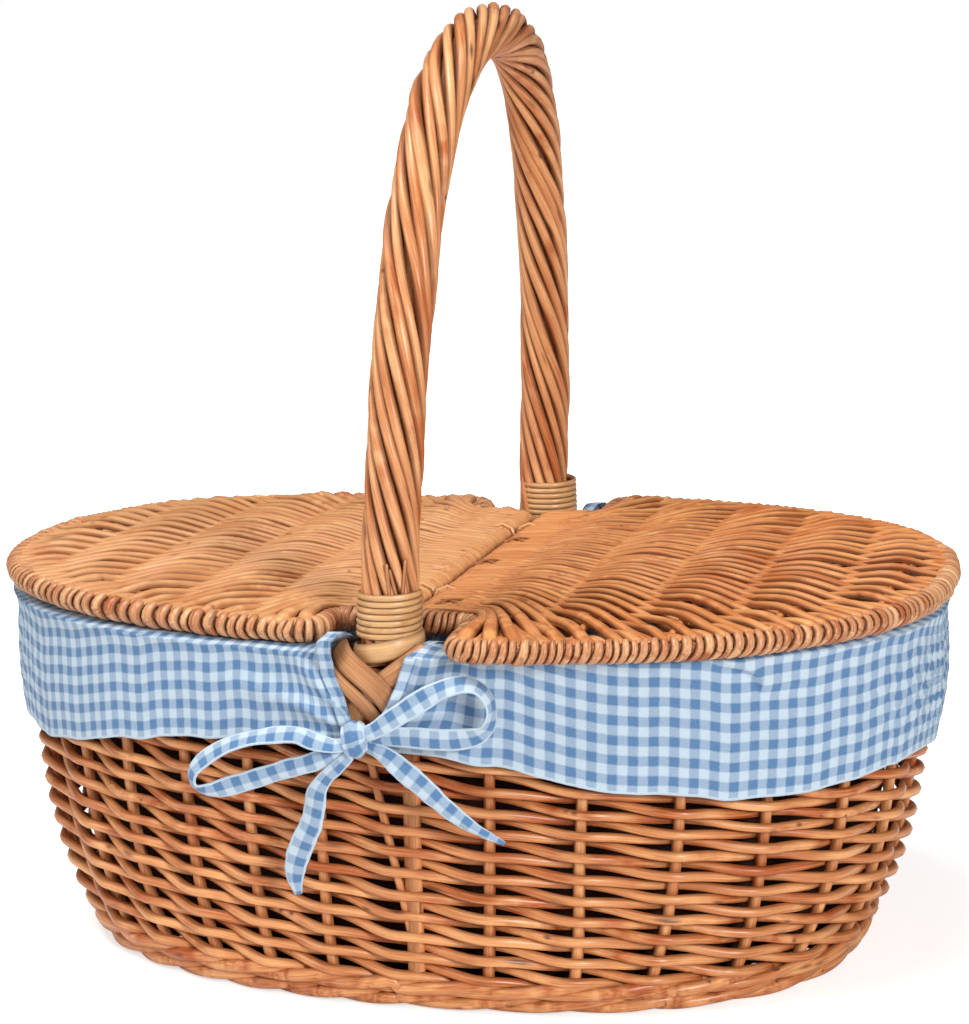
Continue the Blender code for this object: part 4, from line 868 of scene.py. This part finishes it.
def add_sheet(name, points, lay, tone, body, closed=False, thick=0.0006, behind=None):
    """Cloth from a grid of points, rows by columns by 3, with its flat map in metres, and its tone.

    A closed one is joined to itself round its columns. What is behind it is the material of its back.
    """
    rows, columns = points.shape[:2]
    spans = columns if closed else columns - 1
    row, column = np.meshgrid(np.arange(rows - 1), np.arange(spans), indexing="ij")
    here, ahead = row * columns + column, row * columns + (column + 1) % columns
    quads = np.stack([here, ahead, ahead + columns, here + columns], -1).reshape(-1)
    corners = np.stack([lay[row, column], lay[row, column + 1], lay[row + 1, column + 1], lay[row + 1, column]], 2)
    piece = add_surface(name, points.reshape(-1, 3), quads, np.full(len(quads) // 4, 4), corners.reshape(-1, 2),
                        np.broadcast_to(tone, (rows, columns)).reshape(-1), np.zeros(rows * columns), GINGHAM, body)
    weight = piece.modifiers.new("thickness", "SOLIDIFY")
    weight.thickness = thick
    weight.offset = 0
    if behind:
        piece.data.materials.append(behind)
        weight.material_offset = 1
    return piece


LINER_TOP, LINER_DROP, LINER_LENGTH = 0.1490, 0.1375, 1.05


def liner():
    """Rings from the border down to the bottom, then in to its middle: depth grows by a slack bag's sag and folds."""
    columns, rings, floor_rings = 420, 30, 18
    around = np.linspace(0, 1, columns + 1)[:-1][None]
    drop = np.linspace(0, 1, rings)[:, None]
    ends = bell(around, 0.25, 0.07) + bell(around, 0.75, 0.07)
    sag = 0.0170 + 0.0140 * np.sin(math.pi * drop ** 0.8) * (1 - 0.85 * ends)
    gathers = np.cos(2 * math.pi * around * 31 + smooth_noise((1, columns), 24, 0.8))
    folds = 0.0022 * gathers * np.sin(math.pi * drop) ** 0.5
    folds[:, :4] *= np.linspace(0, 1, 4)
    folds[:, -4:] *= np.linspace(1, 0, 4)
    wall = on_wall(around, LINER_TOP - LINER_DROP * drop, sag + folds + 0.001)
    inner = np.linspace(0.96, 0.02, floor_rings)[:, None]
    floor = wall[-1:] * inner[..., None]
    wrinkle = np.sin(9 * floor[..., 0] / 0.02) * np.sin(math.pi * np.linspace(0, 1, floor_rings))[:, None]
    floor[..., 2] = LINER_TOP - LINER_DROP + 0.0008 * wrinkle
    points = np.concatenate([wall, floor])
    across, down = np.arange(columns + 1)[None] / columns * LINER_LENGTH, travelled(points[:, 0])[:, None]
    lay = np.stack(np.broadcast_arrays(across, down), -1)
    piece = add_sheet("liner_cloth", points, lay, 0.0, "basket", closed=True, behind=LINER_BACK_SHADE)
    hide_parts("liner")


liner()

# Height of the hem by distance from a foot of the handle along the border, to the right and to the left of it,
# in millimetres.
HEM_RIGHT = [(-10, 118), (8, 116.6), (24, 114.6), (49, 110.3), (69, 105.9), (89, 101.4), (109, 99), (129, 96.9),
             (146, 95.6), (164, 95.1), (182.5, 96.7), (204, 98.5), (232.5, 100.1), (275, 96.8)]
HEM_LEFT = [(-10, 118), (11, 119.6), (22, 119.7), (51, 117.1), (81, 113.5), (124, 107.7), (150, 103.1),
            (181, 97.6), (196, 100.3), (240, 99)]
# The valance's way up inside the border and over it: depth and height.
OVER_BORDER = np.array([(0.0172, 0.1440), (0.0170, 0.1480), (0.0168, 0.1515), (0.0158, 0.1546), (0.0130, 0.1556),
                        (0.0095, 0.1557), (0.0060, 0.1557), (0.0025, 0.1556), (0.0, 0.1553)])
VALANCE_TOP, KNOT = 0.1545, np.array([-0.0088, -0.1570, 0.1224])


def step_up(value, width):
    """Smooth step from nothing below nought to one above it."""
    return 1 / (1 + np.exp(-value / width))


def valance(name, way):
    """From one foot of the handle round to the other: up inside the border, over it, and down outside to the hem.

    A column's distance d along the border shifts near its ends to the cloth's slanting edge. Outside, the cloth
    stands off the side by a base plus folds: puckers that run out from the knot, waves, slanting creases at the
    end of the basket, and a crescent that steps out from under the lid's rim. Beside the handle's feet it is
    pushed up. The left half is the right half turned half round, with waves of its own.
    """
    half, columns, inside, blur, turned = BORDER_LENGTH / 2, 640, len(OVER_BORDER), 17, np.arange(1, 7)
    d0 = np.linspace(0, 1, columns) * half
    knots = np.array(HEM_RIGHT + [(half * 1000 - a, z) for a, z in HEM_LEFT[::-1]]) / 1000
    hem = np.interp(d0, *knots.T)
    hem = np.convolve(np.pad(hem, blur // 2, mode="edge"), np.ones(blur) / blur, "valid")
    hem = hem + smooth_noise((1, columns), 46, 0.0006)[0]
    q = np.linspace(0, 1, 56)[:, None]
    z = np.concatenate([OVER_BORDER[:, 1:] + 0 * d0, VALANCE_TOP - (VALANCE_TOP - hem) * q])
    down = VALANCE_TOP - 0.0365 * q[:, 0]
    edge_near = np.concatenate([np.linspace(0.0225, 0.0205, 4), np.linspace(0.0200, 0.0118, 5),
                                np.interp(down, [0.117, 0.1274, 0.1347, 0.1389, 0.144, 0.1498, 0.1545],
                                          [-0.0060, -0.0026, 0.0029, 0.0047, 0.0068, 0.0086, 0.0108])])[:, None]
    edge_far = np.concatenate([np.linspace(0.0225, 0.0180, 4), np.linspace(0.0140, 0.0165, 5),
                               np.interp(down, [0.117, 0.130, 0.1374, 0.1418, 0.1466, 0.1528, 0.1545],
                                         [0.0085, 0.0134, 0.0154, 0.0174, 0.0194, 0.0194, 0.0175])])[:, None]
    d = d0 + edge_near * bell(d0, 0, 0.030) - edge_far * bell(half - d0, 0, 0.030)
    q = np.concatenate([np.zeros((inside, 1)), q])
    middle = np.sin(math.pi * q)

    beside = bell(d, 0, 0.030) + bell(half - d, 0, 0.030)
    out = 0.0022 + 0.0054 * beside + 0.0005 * middle + 0.0032 * np.exp(-q / 0.10)
    for away, strength in ((d - KNOT[0], 0.0019), (half - d + KNOT[0], 0.00247)):
        far = np.hypot(away, z - KNOT[2])
        angle = np.arctan2(z - KNOT[2], away)
        size = np.clip((far - 0.003) / 0.014, 0, 1) * np.exp(-np.maximum(far - 0.02, 0) / 0.045)
        out += strength * size * (0.5 + 0.5 * np.cos(13 * angle + 25 * far + 1.0)) ** 1.5
    waves = smooth_noise((1, columns), 30, 0.0006)[0] + smooth_noise((1, columns), 70, 0.00025)[0]
    out += np.abs(waves) * (0.25 + 0.75 * q)
    slant = bell(d, half / 2, 0.085)
    for size, lean, pitch, shift in ((0.0015 * slant, 1.1, 0.0125, 2 * waves / 0.0006),
                                     (0.0011 * slant ** 2, 1.4, 0.0049, 0)):
        out += size * (0.5 + 0.5 * np.cos(2 * math.pi * (d - lean * z) / pitch + shift)) * middle
    arc = np.hypot(np.maximum(d - 0.133, 0) / 0.017, np.maximum(z - 0.1412, 0) / 0.0105) - 1
    crescent = step_up(arc, 0.030) * np.exp(-np.maximum(arc, 0) / 0.9)
    out += 0.0046 * crescent * step_up(z - 0.1405, 0.0012) * step_up(d - 0.134, 0.0020)
    depth = -out
    depth[:inside] = OVER_BORDER[:, :1]
    row = np.arange(len(z))[:, None]
    lift = bell(half - d, 0.015, 0.0075) * bell(row, 8.5, 3.6)
    z = z + 0.0088 * lift + 0.0035 * bell(d, 0.017, 0.007) * bell(row, 6.5, 3.0)
    depth = depth - 0.0055 * lift

    def hemmed(values, near, far):
        """Values with some columns more at each end, stepped back over the cloth as a turned hem."""
        k = turned / len(turned)
        return np.concatenate([values[:, :1] + near * k[::-1], values, values[:, -1:] + far * k], 1)
    points = on_wall(hemmed(d, 0.0048, -0.0052) / BORDER_LENGTH, hemmed(z, 0, 0), hemmed(depth, -0.0014, -0.0014))
    points = points * (way, way, 1)
    lay_u = np.concatenate([-turned[::-1] * 0.0008, d0 + 0.15 * np.maximum(d0 - 0.30, 0), half * 1.1 + turned * 0.0009])
    steps = np.linalg.norm(np.diff(points, axis=0), axis=2)
    above = np.concatenate([np.cumsum(steps[::-1], 0)[::-1], np.zeros((1, steps.shape[1]))])
    lay = np.stack([lay_u[None] + 0 * above, above + CHECK / 2], -1)
    piece = add_sheet(f"valance_{name}_cloth", points, lay, np.clip(1 - above / 0.0024, 0, 1), "basket", thick=0.0005)
    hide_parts(f"valance_{name}")


for name, way in (("right", 1), ("left", -1)):
    valance(name, way)

# Bow: one narrow tie of the same cloth, folded to 8 mm with pale edges, is knotted over the straps at each foot.
# The left loop hangs, the right one stands up, and the two tails hang below with cut points. Each row is a point in
# millimetres, a direction that the ribbon faces, and its width in millimetres.
BOW = {
    "left_loop": [
        (-10, -158, 120.8, 0, -1, 0.3, 5), (-17, -160, 119.6, 0, -0.9, 0.5, 6),
        (-25, -161.2, 121.3, 0, -0.8, 0.6, 7.5), (-33, -161.8, 123.6, 0, -0.6, 0.8, 8),
        (-46.6, -161.5, 122.2, 0, -0.6, 0.8, 8), (-60.7, -161, 118, -0.2, -0.7, 0.7, 8),
        (-72, -160.5, 111, -0.5, -0.8, 0.3, 8), (-77.5, -160, 104.5, -0.8, -0.6, 0.1, 8.2),
        (-76.5, -159, 99, -0.6, -0.7, -0.5, 8.5), (-70, -158, 97.5, -0.1, -0.8, -0.6, 8.5),
        (-58.5, -158, 101, 0, -0.9, -0.4, 8.5), (-46.9, -158, 105.2, 0, -0.9, -0.3, 8.2),
        (-37, -158, 108.7, 0, -1, -0.2, 8), (-27, -157.8, 111.7, 0, -1, 0, 7.5),
        (-17, -157.2, 116.5, 0, -1, 0, 6.5), (-10, -156.5, 120.8, 0, -1, 0, 5)],
    "right_loop": [
        (-7, -158, 123.5, 0, -1, 0.2, 5), (0, -160, 127, 0, -1, 0.2, 6.5), (6, -161.2, 131.2, 0, -1, 0.2, 7.8),
        (13.8, -162.2, 136.6, 0, -1, 0.1, 8.5), (21.7, -162.5, 142, 0.1, -1, 0.2, 8.5),
        (29, -162.5, 146, 0.2, -0.8, 0.5, 8.2), (37, -162, 148.2, 0.4, -0.6, 0.8, 8),
        (43, -161.2, 146.8, 0.8, -0.35, 0.5, 8), (47, -160.5, 142, 0.95, -0.25, 0.2, 8),
        (48, -160, 136.5, 0.97, -0.25, -0.1, 8), (46.2, -159.5, 130.5, 0.8, -0.5, -0.5, 8.2),
        (41, -159.2, 126.8, 0.3, -0.9, -0.4, 8.8), (33, -159, 125, 0, -1, -0.2, 9),
        (25, -159, 124.5, 0, -1, -0.1, 9), (16, -158.6, 124.6, 0, -1, 0, 8.8), (7, -158, 124.3, 0, -1, 0, 8),
        (-1, -157.2, 123.5, 0, -1, 0, 6.5), (-7, -156.5, 122.8, 0, -1, 0, 5)],
    "left_tail": [
        (-9.5, -157.2, 118, 0, -1, 0, 4.5), (-15, -158.5, 111.8, 0.1, -1, 0.1, 5.5),
        (-21, -158.5, 106.2, 0.2, -1, 0.1, 6.2), (-25.2, -157.5, 99.8, 0, -1, 0, 8),
        (-26.8, -156, 93, -0.2, -1, 0, 9.2), (-29, -154.5, 85, -0.1, -1, 0, 9.8), (-33, -153, 77, 0.1, -1, 0, 10),
        (-36.4, -151.5, 69, 0.1, -1, 0, 9.6), (-38, -150, 61, 0, -1, 0, 7.2), (-37, -149, 53.2, 0, -1, 0, 2.6)],
    "right_tail": [
        (-4, -156.5, 119.5, 0, -1, 0, 5), (3.5, -157.5, 116.5, 0, -1, 0, 7.2),
        (10.1, -157.5, 111.2, 0.1, -1, 0.1, 8.6), (17.1, -156.8, 105.5, 0, -1, 0.1, 8.6),
        (23.7, -156, 99.5, -0.1, -1, 0, 7.8), (30.2, -155, 93.8, 0, -1, 0, 7), (37.2, -154, 88.8, 0.1, -1, 0, 5.2),
        (43.8, -153, 85, 0, -1, 0, 3.2), (51, -152, 81.5, 0, -1, 0, 1.2)],
}


def ribbon(name, rows, way):
    """Strip along a smooth line: point = line + v * width / 2 * side + crown * (1 - v * v) * facing."""
    rows = np.array(rows) / (1000, 1000, 1000, 1, 1, 1, 1000)
    curve = curve_through(rows, 26 * (len(rows) - 1))
    line, facing, width = curve[:, :3] * (way, way, 1), curve[:, 3:6] * (way, way, 1), curve[:, 6:]
    along = np.gradient(line, axis=0)
    step = np.linalg.norm(along, axis=1, keepdims=True)
    along /= step
    facing = unit(facing - (facing * along).sum(1, keepdims=True) * along)
    side = np.cross(along, facing)
    v = np.linspace(-1, 1, 11)[None, :, None]
    travel = np.cumsum(step[:, 0])
    crown, ripple, edge = (smooth_noise((1, len(line)), knots, spread)[0][:, None, None]
                           for knots, spread in ((12, 0.0004), (18, 0.0003), (26, 0.03)))
    across = v * width[:, None] / 2
    points = line[:, None] + across * (1 + edge) * side[:, None]
    points = points + ((0.0007 + crown) * (1 - v ** 2) + ripple * v) * facing[:, None]
    lay = np.stack([travel[:, None] + 0 * v[..., 0], across[..., 0] + 0.0033], -1)
    tone = np.clip((np.abs(v[..., 0]) - 0.62) / 0.34, 0, 1) + 0 * travel[:, None]
    piece = add_sheet(name + "_ribbon", points, lay, tone, "basket", thick=0.0007)
    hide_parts(name)


def bow_knot(name, way):
    """The tie wrapped once round the middle of the bow, higher than wide, with creases that run round with it."""
    v = np.linspace(-math.pi / 2, math.pi / 2, 33)[:, None]
    around = np.linspace(0, 1, 49)[None]
    u = 2 * math.pi * around[:, :-1]
    first, second = np.cos(6.4 * v + 0.8 * np.sin(u)), np.cos(12 * v - 1.4 * np.sin(u + 0.6))
    crease = 1 + (0.06 * first + 0.03 * second) * np.cos(v) ** 0.5
    rim = np.cos(v) ** 0.42
    x = 0.0050 * np.sign(v) * np.abs(np.sin(v)) ** 0.85 + 0.0009 * np.sin(u)
    y = -0.0050 * rim * crease * np.cos(u)
    z = 0.0074 * rim * crease * np.sin(u) * (1 - 0.10 * np.sin(v))
    lean = math.radians(20)
    points = np.stack([x * math.cos(lean) - z * math.sin(lean), y, x * math.sin(lean) + z * math.cos(lean)], -1)
    points = (points + KNOT + (0, -0.0012, 0)) * (way, way, 1)
    lay = np.stack([0.038 * around + 0 * v, 0.0038 * v + 0.0015 + 0 * around], -1)
    tone = np.clip((np.abs(v + 0.18 * np.sin(u)) - 1.0) / 0.45, 0, 1)
    piece = add_sheet(name + "_pad", points, lay, tone, "basket", closed=True, thick=0.0002)
    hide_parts(name)


for side, way in WAYS.items():
    bow_knot(f"bow_{side}_knot", way)
    for part, rows in BOW.items():
        ribbon(f"bow_{side}_{part}", rows, way)
